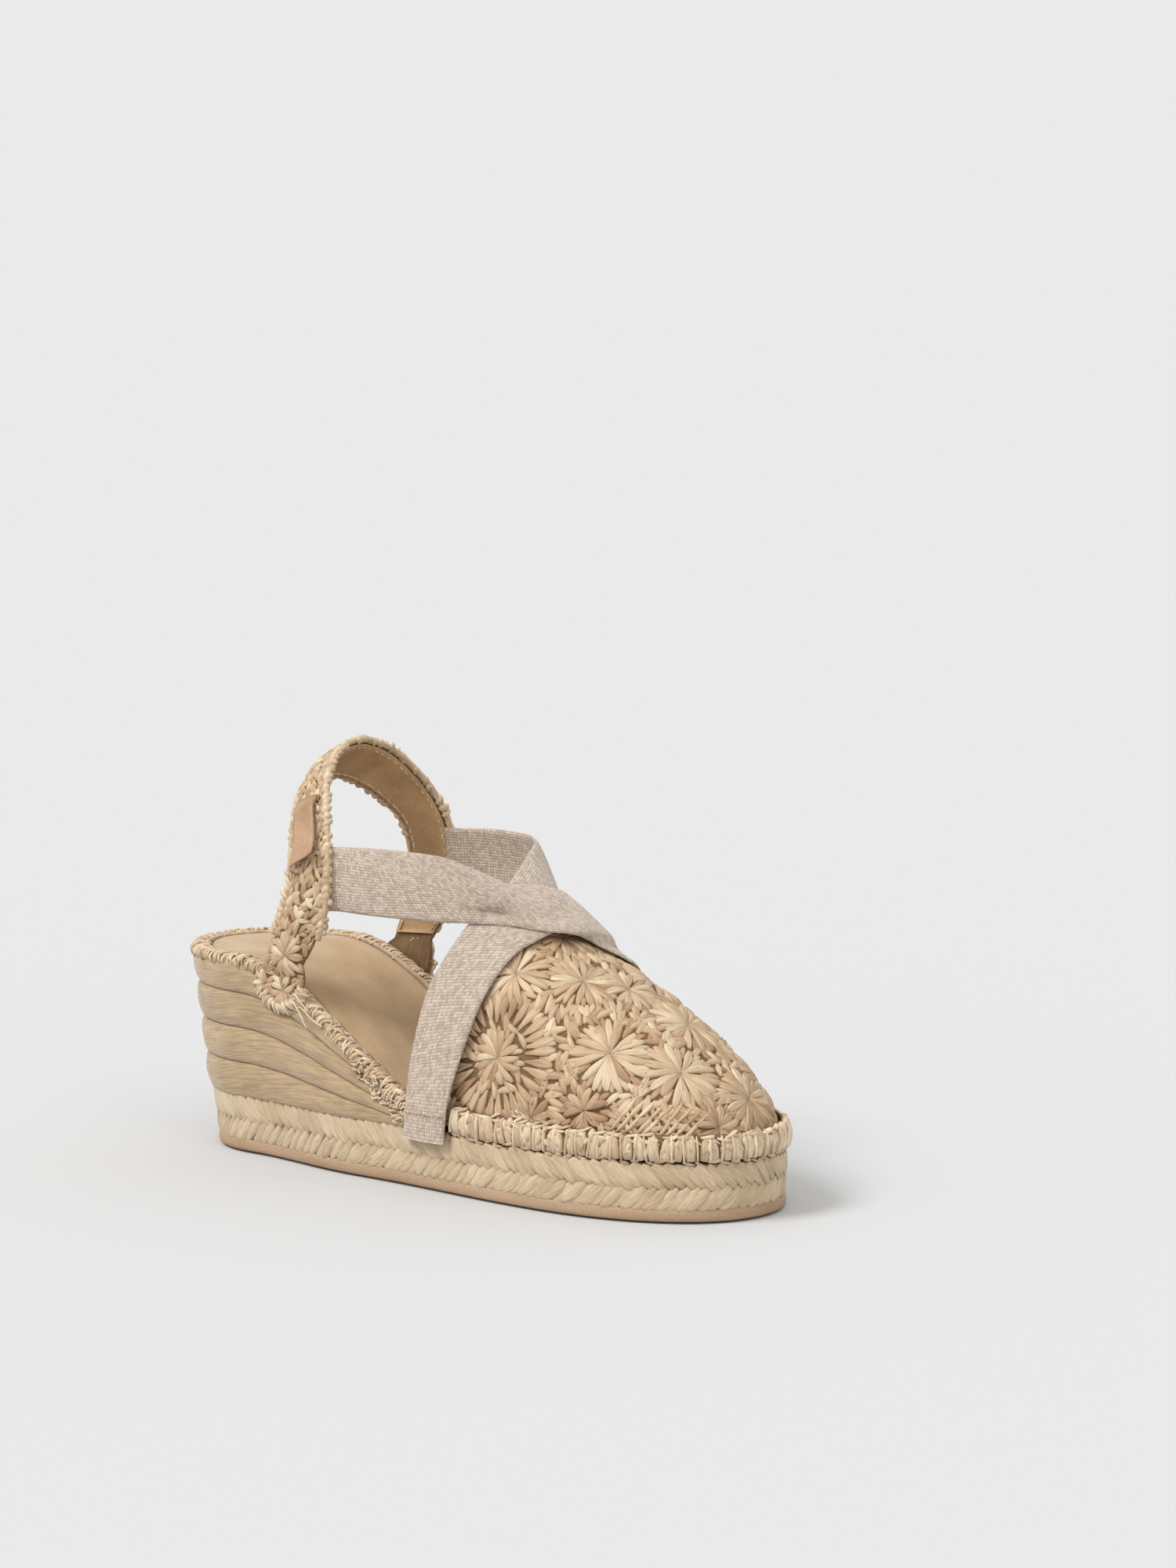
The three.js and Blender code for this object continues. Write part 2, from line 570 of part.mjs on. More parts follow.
// The elastic on top: from the inner side of the sole to the outer side of the sling.
const OVER_EDGES = {
  back: [
    footPoint(ELASTIC_FOOT.backX, false, FOOT_Z), footPoint(ELASTIC_FOOT.backX + 2, false, 32),
    v3(124, 37.5, 46), v3(128, 34.5, instepZ(-22.8)), v3(134.5, 31, instepZ(-8.3)),
    v3(142.5, 25, instepZ(2.7)), v3(148.5, 15.5, instepZ(9.7)), v3(147, 4, instepZ(13.2)),
    v3(142, -8, instepZ(14.5)), v3(138, -16, instepZ(19)), v3(131, -26, instepZ(24.2)),
    v3(111, -32.3, ankleZ(48.8)), v3(94, -33, ankleZ(48.3)), v3(83, -31.3, ankleZ(47.5)),
    v3(73, -CUFF_Y, ankleZ(47)),
  ],
  front: [
    footPoint(ELASTIC_FOOT.frontX, false, FOOT_Z), footPoint(ELASTIC_FOOT.frontX + 4, false, 33),
    v3(151, 40, 50), v3(162, 36, instepZ(-29.8)), v3(172, 30, instepZ(-21.8)),
    v3(176.5, 23, instepZ(-14.3)), v3(173.5, 15.5, instepZ(-9)), v3(169.5, 7, instepZ(-4)),
    v3(166, -2, instepZ(-1.5)), v3(160, -11, instepZ(0.2)), v3(150, -19, instepZ(1.8)),
    v3(128, -31, ankleZ(24.6)), v3(101, -33.8, ankleZ(24.4)), v3(83, -31.6, ankleZ(24.1)),
    v3(73, -CUFF_Y, ankleZ(24)),
  ],
};

function elasticGrid(edges, flip) {
  const [back, front] = [edges.back, edges.front].map((points) =>
    new THREE.CatmullRomCurve3(points, false, 'centripetal'));
  const grid = steps(ELASTIC_ROWS).map((u) => steps(ELASTIC_ACROSS).map((v) =>
    back.getPoint(u).lerp(front.getPoint(u), flip ? 1 - v : v)));
  const normals = gridNormals(grid);
  return grid.map((row, r) => row.map((p, k) => {
    const v = k / ELASTIC_ACROSS;
    return p.clone().addScaledVector(normals[r][k], ELASTIC_CROWN * 4 * v * (1 - v));
  }));
}

// Lays an elastic over what it crosses and gives it its thickness.
function layElastic(edges, flip, surfaces) {
  const face = elasticGrid(edges, flip);
  const under = offsetGrid(face, gridNormals(face), -ELASTIC_THICKNESS);
  for (const surface of surfaces) clearOf(under, surface, ELASTIC_LIFT);
  for (const surface of surfaces) clearOf(under, surface, ELASTIC_LIFT);
  const normals = gridNormals(under);
  return { under, top: offsetGrid(under, normals, ELASTIC_THICKNESS), normals };
}

const vampSurface = surfacePoints(vampOuter, gridNormals(vampOuter));
const underElastic = layElastic(UNDER_EDGES, true, [vampSurface]);
const underSurface = surfacePoints(underElastic.top, underElastic.normals);
const overElastic = layElastic(OVER_EDGES, false, [vampSurface, underSurface]);

const makeElastic = (elastic) => shell(elastic.top, elastic.under);

// Seam across an elastic's foot: a thread bar on its face.
function makeFootSeam(elastic) {
  const row = 2;
  const points = elastic.top[row];
  const normals = elastic.normals[row];
  const along = elastic.top[row + 1][2].clone().sub(elastic.top[row][2]).normalize();
  return loft(points.map((p, k) => circleSection(
    p.clone().addScaledVector(normals[k], GAP + THREAD / 2), along, normals[k], THREAD / 2, 6)));
}

// ---- Assembly ----
const COLOURS = {
  rubber: 0xb08a66, jute: 0xc0a47c, core: 0xb79b74, board: 0x8a6a48, foam: 0xd8cdb8, suede: 0xae8a5f,
  raffia: 0xc9aa6c, lining: 0xa98862, elastic: 0xb3a594, leather: 0xc08a68, thread: 0xb49a72,
};

const group = new THREE.Group();

function add(name, geometry, colour, roughness = 0.85) {
  const material = new THREE.MeshStandardMaterial({ color: COLOURS[colour], roughness, metalness: 0 });
  const mesh = new THREE.Mesh(geometry, material);
  mesh.name = name;
  group.add(mesh);
}

add('rubber_outsole', makeOutsole(), 'rubber', 0.6);
add('jute_base_braid', makeBaseBraid(), 'jute');
add('jute_base_core', makeBaseCore(), 'core');
add('wedge_core', makeWedgeCore(), 'core');
for (let level = 0; level < ROPE_COURSES; level += 1) {
  add(`jute_wedge_course_${level + 1}`, makeRopeCourse(level), 'jute');
}
add('insole_board', footbedLayer(0, BOARD_THICKNESS), 'board');
add('foam_cushion', footbedLayer(FOAM_OFFSET, FOAM_THICKNESS), 'foam');
add('suede_footbed', footbedLayer(FOOTBED_OFFSET, FOOTBED_THICKNESS), 'suede');
add('rim_whip_stitching', makeRimStitching(), 'thread');
add('vamp_raffia', makeVamp(), 'raffia');
add('vamp_lining', makeVampLining(), 'lining');
add('vamp_blanket_stitch_band', makeVampBand(), 'thread');
add('elastic_under', makeElastic(underElastic), 'elastic');
add('elastic_over', makeElastic(overElastic), 'elastic');
add('elastic_under_foot_seam', makeFootSeam(underElastic), 'thread');
add('elastic_over_foot_seam', makeFootSeam(overElastic), 'thread');
add('sling_raffia', makeSlingRaffia(), 'raffia');
add('sling_lining', makeSlingLining(), 'lining', 0.7);
add('sling_edging_front', makeSlingEdging(true), 'raffia');
add('sling_edging_back', makeSlingEdging(false), 'raffia');
add('leather_tab', makeLeatherTab(), 'leather', 0.65);
add('sling_anchor_stitching_outer', makeAnchorStitching(true), 'thread');
add('sling_anchor_stitching_inner', makeAnchorStitching(false), 'thread');

const box = new THREE.Box3().setFromObject(group);
const middle = box.getCenter(v3());
group.position.set(-middle.x, -middle.y, -box.min.z);

export default group;
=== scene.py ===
"""Wedge sandal, the right shoe of a pair: the looks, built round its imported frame.

Design sizes are millimetres in the shoe's own frame: x from the heel to the toe, +y the inner side of the
foot, z up from the floor. Every mesh is turned to the frame's metres when it is made.
"""

import json
import logging
import math
from collections.abc import Callable, Sequence
from dataclasses import dataclass, field
from enum import Enum

import bpy
import numpy as np
from bpy.types import Material, Mesh, Node, NodeSocket, NodeTree, Object
from mathutils import Matrix, Vector
from mathutils.bvhtree import BVHTree

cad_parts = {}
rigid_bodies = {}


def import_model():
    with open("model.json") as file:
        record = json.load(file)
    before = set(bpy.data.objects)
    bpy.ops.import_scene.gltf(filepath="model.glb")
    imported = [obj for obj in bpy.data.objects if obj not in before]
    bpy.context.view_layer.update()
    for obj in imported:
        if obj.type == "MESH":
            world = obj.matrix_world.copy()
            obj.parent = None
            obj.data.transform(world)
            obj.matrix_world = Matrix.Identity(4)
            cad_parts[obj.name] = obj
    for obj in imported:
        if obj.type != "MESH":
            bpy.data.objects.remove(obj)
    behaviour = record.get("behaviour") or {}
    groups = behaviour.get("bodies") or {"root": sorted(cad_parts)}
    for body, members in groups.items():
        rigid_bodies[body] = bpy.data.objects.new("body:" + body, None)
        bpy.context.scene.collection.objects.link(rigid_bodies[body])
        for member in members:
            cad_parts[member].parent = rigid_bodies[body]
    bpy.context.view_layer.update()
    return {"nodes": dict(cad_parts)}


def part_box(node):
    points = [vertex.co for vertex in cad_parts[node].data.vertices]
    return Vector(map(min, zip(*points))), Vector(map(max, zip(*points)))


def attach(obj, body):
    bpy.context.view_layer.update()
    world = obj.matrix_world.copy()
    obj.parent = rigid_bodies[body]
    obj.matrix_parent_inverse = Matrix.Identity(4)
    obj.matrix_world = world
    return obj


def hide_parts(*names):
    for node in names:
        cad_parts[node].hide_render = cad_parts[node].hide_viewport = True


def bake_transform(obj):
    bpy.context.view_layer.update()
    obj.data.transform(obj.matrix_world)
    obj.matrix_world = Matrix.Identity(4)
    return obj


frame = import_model()

MM = 0.001
GAP = 0.3  # clear air between pieces that touch
log = logging.getLogger("sandal")

Points = np.ndarray  # rows of x, y, z (or x, y) in mm
Number = float | np.ndarray
UP = np.array([0.0, 0.0, 1.0])


# ---- Numbers and meshes ----


def mix(a: Number, b: Number, share: Number) -> Number:
    """The value a share of the way from a to b."""
    return a + (b - a) * share


def smoothstep(share: Number) -> Number:
    """A share eased at both ends, held to 0 and 1."""
    t = np.clip(share, 0.0, 1.0)
    return t * t * (3 - 2 * t)


def unit(vectors: Points) -> Points:
    """Vectors of length one."""
    length = np.linalg.norm(vectors, axis=-1, keepdims=True)
    return vectors / np.maximum(length, 1e-12)


def travelled(path: Points) -> Points:
    """Distance along a path at each of its points."""
    return np.concatenate([[0], np.cumsum(np.linalg.norm(np.diff(path, axis=0), axis=1))])


def linear(colour: str) -> tuple[float, float, float, float]:
    """Turns an sRGB hex colour to linear light.

    Args:
        colour: Such as "#c0a47c".

    Returns:
        Red, green, blue and an alpha of 1.
    """
    channels = [int(colour[i:i + 2], 16) / 255 for i in (1, 3, 5)]
    return tuple(c / 12.92 if c <= 0.04045 else ((c + 0.055) / 1.055) ** 2.4 for c in channels) + (1.0,)


def catmull_rom(points: Sequence[Sequence[float]], shares: Points) -> Points:
    """Points on a centripetal Catmull-Rom curve through the given ones.

    Args:
        points: The curve's points, from end to end.
        shares: Where to read it, from 0 to 1, each span between two points taking an equal share.

    Returns:
        One row for each share.
    """
    p = np.asarray(points, float)
    p = np.vstack([2 * p[0] - p[1], p, 2 * p[-1] - p[-2]])
    at = np.clip(np.asarray(shares, float), 0, 1) * (len(points) - 1)
    span = np.minimum(at.astype(int), len(points) - 2)
    t = (at - span)[:, None]
    p0, p1, p2, p3 = (p[span + k] for k in range(4))
    d0, d1, d2 = (np.maximum(np.linalg.norm(b - a, axis=1, keepdims=True), 1e-6) ** 0.5
                  for a, b in ((p0, p1), (p1, p2), (p2, p3)))
    m1 = ((p1 - p0) / d0 - (p2 - p0) / (d0 + d1) + (p2 - p1) / d1) * d1
    m2 = ((p2 - p1) / d1 - (p3 - p1) / (d1 + d2) + (p3 - p2) / d2) * d1
    return (2 * t**3 - 3 * t**2 + 1) * p1 + (t**3 - 2 * t**2 + t) * m1 + (3 * t**2 - 2 * t**3) * p2 + (
        t**3 - t**2) * m2


def grid_faces(rows: int, columns: int, close_rows: bool = False, close_columns: bool = False) -> Points:
    """Quads of a grid of points stored row by row; either way may close on itself.

    Args:
        rows: Points along.
        columns: Points across.
        close_rows: Joins the last row to the first.
        close_columns: Joins the last column to the first.

    Returns:
        Rows of four point numbers.
    """
    r = np.arange(rows if close_rows else rows - 1)[:, None]
    c = np.arange(columns if close_columns else columns - 1)[None, :]
    r2, c2 = (r + 1) % rows, (c + 1) % columns
    return np.stack(np.broadcast_arrays(
        r * columns + c, r * columns + c2, r2 * columns + c2, r2 * columns + c), -1).reshape(-1, 4)


def grid_normals(grid: Points) -> Points:
    """Unit normals of a grid of points, rows along and columns across.

    Args:
        grid: Rows, columns, 3.

    Returns:
        The same shape.
    """
    along = np.gradient(grid, axis=0)
    across = np.gradient(grid, axis=1)
    return unit(np.cross(along, across))


@dataclass
class Part:
    """Points, faces and point values of one mesh, in mm, before it becomes an object.

    Attributes:
        points: Rows of x, y, z.
        faces: Lists of point numbers.
        uv: One row of (across, along) in mm for each point.
        values: Named numbers, one for each point, which a finish may read.
    """

    points: Points
    faces: list
    uv: Points | None = None
    values: dict[str, Points] = field(default_factory=dict)

    @staticmethod
    def join(parts: Sequence["Part"]) -> "Part":
        """One part out of several that hold the same named values.

        Args:
            parts: The parts, in order.

        Returns:
            The joined part.
        """
        start = np.cumsum([0] + [len(p.points) for p in parts])
        faces = [[i + s for i in f] for p, s in zip(parts, start) for f in p.faces]
        uv = np.vstack([p.uv if p.uv is not None else np.zeros((len(p.points), 2)) for p in parts])
        names = parts[0].values.keys()
        return Part(np.vstack([p.points for p in parts]), faces, uv,
                    {n: np.concatenate([p.values[n] for p in parts]) for n in names})

    def build(self, name: str, finish: Material | None = None, placed: bool = True) -> Object:
        """Makes the object.

        Args:
            name: The object's name.
            finish: Its material.
            placed: Turns mm in the shoe's frame to metres in the row frame; a loose shape stays in mm.

        Returns:
            The new object, linked to the scene if it is placed.
        """
        mesh = bpy.data.meshes.new(name)
        points = LAST.to_frame(self.points) if placed else self.points
        mesh.from_pydata([tuple(p) for p in points], [], [tuple(int(i) for i in f) for f in self.faces])
        if self.uv is not None:
            loops = np.zeros(len(mesh.loops), np.int32)
            mesh.loops.foreach_get("vertex_index", loops)
            layer = mesh.uv_layers.new(name="thread")
            layer.data.foreach_set("uv", self.uv[loops].astype(np.float32).ravel())
        for key, values in self.values.items():
            attribute = mesh.attributes.new(key, "FLOAT", "POINT")
            attribute.data.foreach_set("value", np.asarray(values, np.float32))
        mesh.polygons.foreach_set("use_smooth", [True] * len(mesh.polygons))
        mesh.update()
        made = bpy.data.objects.new(name, mesh)
        if placed:
            bpy.context.scene.collection.objects.link(made)
        if finish is not None:
            mesh.materials.append(finish)
        return made


def tube(path: Points, radii: Number, around: int = 8, flat: float = 1.0, side: Points | None = None,
         tint: float = 0.5) -> Part:
    """A round or flattened cord along a path, closed at both ends.

    Args:
        path: Its centreline.
        radii: Half width, one number or one for each point.
        around: Points round each section.
        flat: Thickness as a share of the width.
        side: Unit vectors across the path that the width follows; worked out if left out.
        tint: The piece's place in its finish's range of colour, from 0 to 1.

    Returns:
        The part, with (across, along) in mm as its uv.
    """
    path = np.asarray(path, float)
    along = unit(np.gradient(path, axis=0))
    if side is None:
        start = np.cross(along[0], UP)
        side = np.zeros_like(path)
        current = start if np.linalg.norm(start) > 0.1 else np.array([1.0, 0, 0])
        for i, a in enumerate(along):
            current = unit(current - a * (current @ a))
            side[i] = current
    side = unit(side - along * (side * along).sum(1, keepdims=True))
    up = np.cross(side, along)
    radii = np.broadcast_to(np.asarray(radii, float), (len(path),))[:, None, None]
    angle = np.linspace(0, 2 * math.pi, around, endpoint=False)[None, :, None] - math.pi / 2
    ring = path[:, None] + radii * (np.cos(angle) * side[:, None] + flat * np.sin(angle) * up[:, None])
    length = travelled(path)
    across = (np.arange(around) / around * 2 * math.pi)[None, :] * radii[:, :, 0].max()
    uv = np.stack(np.broadcast_arrays(across, length[:, None]), -1).reshape(-1, 2)
    points = ring.reshape(-1, 3)
    faces = grid_faces(len(path), around, False, True).tolist()
    root, tip, last = len(points), len(points) + 1, (len(path) - 1) * around
    points = np.vstack([points, path[0], path[-1]])
    uv = np.vstack([uv, uv[0], uv[-1]])
    faces += [[root, (k + 1) % around, k] for k in range(around)]
    faces += [[tip, last + k, last + (k + 1) % around] for k in range(around)]
    return Part(points, [f[::-1] for f in faces], uv, {"tint": np.full(len(points), tint)})


def slab(outer: Points, inner: Points, tint: float = 0.5, thread: Points | None = None,
         close: bool = False) -> Part:
    """A sheet with two faces and rims all round, between two grids of points that match.

    Args:
        outer: Rows, columns, 3: the face that shows, whose grid normals point out of the sheet.
        inner: The other face.
        tint: Place in the finish's range of colour.
        thread: Rows, columns, 2: uv of the outer face in mm; worked out from the grid if left out.
        close: Joins the last row to the first, as round a sole.

    Returns:
        The closed part.
    """
    rows, columns = outer.shape[:2]
    if thread is None:
        across = np.concatenate([np.zeros((rows, 1)),
                                 np.cumsum(np.linalg.norm(np.diff(outer, axis=1), axis=2), 1)], 1)
        step = np.linalg.norm(np.diff(outer, axis=0), axis=2).mean(1)
        along = np.concatenate([[0], np.cumsum(step)])[:, None]
        thread = np.stack(np.broadcast_arrays(across - across.mean(1, keepdims=True), along), -1)
    ring = np.concatenate([outer, inner[:, ::-1]], 1)
    uv = np.concatenate([thread, thread[:, ::-1]], 1).reshape(-1, 2)
    count = 2 * columns
    faces = grid_faces(rows, count, close, True).tolist()
    if not close:
        for row, flip in ((0, True), (rows - 1, False)):
            for k in range(columns - 1):
                a, b = row * count + k, row * count + k + 1
                c, d = row * count + count - 2 - k, row * count + count - 1 - k
                faces.append([a, d, c, b] if not flip else [a, b, c, d])
    return Part(ring.reshape(-1, 3), [f[::-1] for f in faces], uv,
                {"tint": np.full(rows * count, tint)})


# ---- The last: outlines and levels that every piece is fitted to ----


@dataclass(frozen=True)
class Outline:
    """One level of the sole seen from above: four curves a side through heel, waist, ball and toe."""

    heel_x: float
    toe_x: float
    heel_half: float
    waist_outer: float
    waist_inner: float
    ball_outer: float
    ball_inner: float
    toe_y: float = 3.2
    heel_centre_x: float = 36.0
    waist_x: float = 95.0
    ball_outer_x: float = 179.0
    ball_inner_x: float = 185.0
    pulls: tuple[float, float, float, float] = (0.5523, 0.38, 0.38, 0.6)

    def side(self, outer: bool, station: Points) -> Points:
        """Points of one side.

        Args:
            outer: The outer side of the foot, or the inner one.
            station: From 0 at the heel to 4 at the toe.

        Returns:
            Rows of x, y.
        """
        sign = -1 if outer else 1
        anchors = np.array([
            (self.heel_x, 0), (self.heel_centre_x, sign * self.heel_half),
            (self.waist_x, sign * (self.waist_outer if outer else self.waist_inner)),
            (self.ball_outer_x if outer else self.ball_inner_x,
             sign * (self.ball_outer if outer else self.ball_inner)),
            (self.toe_x, self.toe_y)])
        i = np.clip(np.asarray(station, float).astype(int), 0, 3)
        t = (np.asarray(station, float) - i)[:, None]
        a, d = anchors[i], anchors[i + 1]
        pull = np.array(self.pulls)[i]
        b, c = a.copy(), d.copy()
        first, last = i == 0, i == 3
        b[:, 0] += np.where(first, 0, pull * (d - a)[:, 0])
        b[:, 1] += np.where(first, pull * (d - a)[:, 1], 0)
        c[:, 0] -= np.where(last, 0, pull * (d - a)[:, 0])
        c[:, 1] -= np.where(last, pull * (d - a)[:, 1], 0)
        return (1 - t) ** 3 * a + 3 * t * (1 - t) ** 2 * b + 3 * t * t * (1 - t) * c + t**3 * d


@dataclass(frozen=True)
class Last:
    """Levels of the sole and the place of the shoe in the row frame."""

    tread: Outline = Outline(5, 249, 29, 35.5, 29, 40.3, 43.2)
    rim: Outline = Outline(-6, 250, 33.5, 36.5, 31, 41.3, 44.2)
    base_z: float = 5.5
    base_top: float = 21.0
    heel_height: float = 73.0
    toe_rim: float = 0.8
    ramp_heel_x: float = 33.5
    ramp_ball_x: float = 150.6
    stack: float = 5.5  # insole board, foam and footbed
    groove_share: float = 0.25  # of the flare, reached at the top of the base braid

    def origin(self) -> Points:
        """Where the shoe's own origin lies in the row frame, in mm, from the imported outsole."""
        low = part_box("rubber_outsole")[0]
        return np.array([low.x / MM - self.tread.heel_x, low.y / MM + self.tread.ball_outer, 0.0])

    def to_frame(self, points: Points) -> Points:
        """Millimetres in the shoe's frame to metres in the row frame."""
        return (np.asarray(points, float) + self.origin()) * MM

    def ring(self, share: Number, station: Points) -> Points:
        """Points round the wall: heel, outer side, toe (station 4), inner side and back to the heel (8).

        Args:
            share: How far the wall has flared from the tread (0) to the rim (1).
            station: From 0 to 8, and on round again.

        Returns:
            Rows of x, y.
        """
        s = np.mod(station, 8.0)
        outer = s <= 4
        t = np.where(outer, s, 8 - s)
        share = np.broadcast_to(np.asarray(share, float), s.shape)[:, None]
        tread, rim = (np.where(outer[:, None], level.side(True, t), level.side(False, t))
                      for level in (self.tread, self.rim))
        return mix(tread, rim, share)

    def inset(self, share: Number, station: Points, distance: Number) -> Points:
        """The ring moved inwards by a distance.

        Args:
            share: As for the ring.
            station: As for the ring.
            distance: In mm; below 0 it moves outwards.

        Returns:
            Rows of x, y.
        """
        step = 0.01
        ahead, behind = self.ring(share, station + step), self.ring(share, station - step)
        along = unit(ahead - behind)
        distance = np.broadcast_to(np.asarray(distance, float), np.shape(station))[:, None]
        return self.ring(share, station) + np.stack([-along[:, 1], along[:, 0]], 1) * distance

    def rim_z(self, x: Points) -> Points:
        """Height of the rim.

        Args:
            x: Places along the shoe.

        Returns:
            Heights over the floor.
        """
        rise = smoothstep((self.ramp_ball_x - x) / (self.ramp_ball_x - self.ramp_heel_x))
        low = self.base_top + self.toe_rim
        return low + (self.heel_height - low) * rise

    def board_z(self, x: Points) -> Points:
        """Underside of the insole board: a stack below the rim, but never into the base."""
        above = self.rim_z(x) - self.stack - self.base_top - GAP
        return self.base_top + GAP + (above + np.hypot(above, 3)) / 2

    def even(self, start: float, end: float, pitch: float) -> Points:
        """Stations from one to another at an even pitch along the rim, both ends included.

        Args:
            start: First station.
            end: Last station.
            pitch: Distance in mm, as nearly as a whole number lets it.

        Returns:
            The stations.
        """
        fine = np.linspace(start, end, 1600)
        line = self.ring(1.0, fine)
        length = travelled(line)
        count = max(2, round(length[-1] / pitch) + 1)
        return np.interp(np.linspace(0, length[-1], count), length, fine)

    def crossing(self, x: float, outer: bool) -> float:
        """Station where the rim passes an x, on the outer side (0 to 4) or the inner one (4 to 8).

        Args:
            x: Place along the shoe.
            outer: Which side.

        Returns:
            The station.
        """
        t = np.linspace(0, 4, 2000)
        line = self.rim.side(outer, t)[:, 0]
        found = float(np.interp(x, line, t))
        return found if outer else 8 - found

    def step(self, station: float) -> tuple[Points, Points]:
        """A point of the rim and one just ahead of it."""
        here, ahead = (self.ring(1.0, np.array([station + d]))[0] for d in (0.0, 0.01))
        return here, ahead

    def round_heel(self, x: float) -> tuple[float, float]:
        """Stations from an x on the inner side, round the heel, to the same x on the outer side."""
        return self.crossing(x, False), self.crossing(x, True) + 8

    def side_y(self, x: Points, outer: bool, inset: float = 0.0) -> Points:
        """Half width of the rim at an x, signed.

        Args:
            x: Places along the shoe.
            outer: Which side.
            inset: Distance inside the rim.

        Returns:
            The y at each x.
        """
        t = np.linspace(0, 4, 2000)
        line = self.inset(1.0, t if outer else 8 - t, inset)
        return np.interp(x, line[:, 0], line[:, 1])

    def wall(self, station: Points, z: Points, proud: Number = 0.0) -> Points:
        """Points on the wall of the sole: the base up to its top, then the wedge up to the rim.

        Args:
            station: From 0 to 8 round the sole.
            z: Heights.
            proud: Distance outside the wall.

        Returns:
            Rows of x, y, z.
        """
        x = self.ring(1.0, station)[:, 0]
        base = self.groove_share * (z - self.base_z) / (self.base_top - self.base_z)
        wedge = self.groove_share + (1 - self.groove_share) * (z - self.base_top) / (
            self.rim_z(x) - self.base_top)
        share = np.where(z < self.base_top, base, np.minimum(wedge, 1.15))
        return np.column_stack([self.inset(share, station, -np.asarray(proud, float)), z])


LAST = Last()


class Skin:
    """A fine sheet of points that other pieces are laid on."""

    def __init__(self, grid: Points) -> None:
        """Keeps a grid and makes it ready to be searched.

        Args:
            grid: Points in mm, whose grid normals point outwards.
        """
        rows, columns = grid.shape[:2]
        self.grid = grid
        self.tree = BVHTree.FromPolygons(
            [tuple(p) for p in grid.reshape(-1, 3)], grid_faces(rows, columns).tolist())
        middle = grid_normals(grid)[rows // 2, columns // 2]
        found = self.tree.find_nearest(Vector(grid[rows // 2, columns // 2]))[1]
        self.sign = 1.0 if Vector(middle).dot(found) > 0 else -1.0

    def nearest(self, points: Points) -> tuple[Points, Points]:
        """The sheet's nearest points to the given ones, and its outward normals there."""
        found = [self.tree.find_nearest(Vector(p)) for p in points]
        return np.array([f[0] for f in found]), np.array([f[1] for f in found]) * self.sign

    def frame(self, point: Sequence[float]) -> tuple[Points, Points]:
        """Place and outward normal of the sheet next to one point."""
        place, normal = self.nearest(np.array([point], float))
        return place[0], normal[0]


# ---- Geometry nodes: one shape set laid on many places ----


def add_node(tree: NodeTree, kind: str, settings: dict | None = None,
             inputs: dict | None = None) -> Node:
    """Adds a node with its settings and links.

    Args:
        tree: The node tree.
        kind: The node's type, such as "ShaderNodeMath".
        settings: Properties of the node.
        inputs: What its inputs take, by name or number: a constant, a socket, or a node's first output.

    Returns:
        The new node.
    """
    node = tree.nodes.new(kind)
    for name, value in (settings or {}).items():
        setattr(node, name, value)
    for name, value in (inputs or {}).items():
        if isinstance(value, Node):
            value = value.outputs[0]
        if isinstance(value, NodeSocket):
            tree.links.new(value, node.inputs[name])
        else:
            node.inputs[name].default_value = value
    return node


def laying_tree() -> NodeTree:
    """Nodes that lay shapes of a collection on points, each by its own kind, turn and size.

    Returns:
        The node group, made once and shared by every layout.
    """
    tree = bpy.data.node_groups.new("lay_shapes", "GeometryNodeTree")
    for name, way, kind in (("Places", "INPUT", "Geometry"), ("Shapes", "INPUT", "Collection"),
                            ("Finish", "INPUT", "Material"), ("Geometry", "OUTPUT", "Geometry")):
        tree.interface.new_socket(name, in_out=way, socket_type="NodeSocket" + kind)
    given = add_node(tree, "NodeGroupInput").outputs
    kind, turn, size = (
        add_node(tree, "GeometryNodeInputNamedAttribute", {"data_type": data}, {"Name": name})
        for name, data in (("kind", "INT"), ("turn", "FLOAT_VECTOR"), ("size", "FLOAT_VECTOR")))
    shapes = add_node(tree, "GeometryNodeCollectionInfo", {}, {
        "Collection": given["Shapes"], "Separate Children": True, "Reset Children": True})
    rotation = add_node(tree, "FunctionNodeEulerToRotation", {}, {0: turn})
    laid = add_node(tree, "GeometryNodeInstanceOnPoints", {}, {
        "Points": given["Places"], "Instance": shapes, "Pick Instance": True, "Instance Index": kind,
        "Rotation": rotation, "Scale": size})
    real = add_node(tree, "GeometryNodeRealizeInstances", {}, {0: laid})
    dressed = add_node(tree, "GeometryNodeSetMaterial", {}, {"Geometry": real, "Material": given["Finish"]})
    add_node(tree, "NodeGroupOutput", {}, {0: dressed})
    return tree


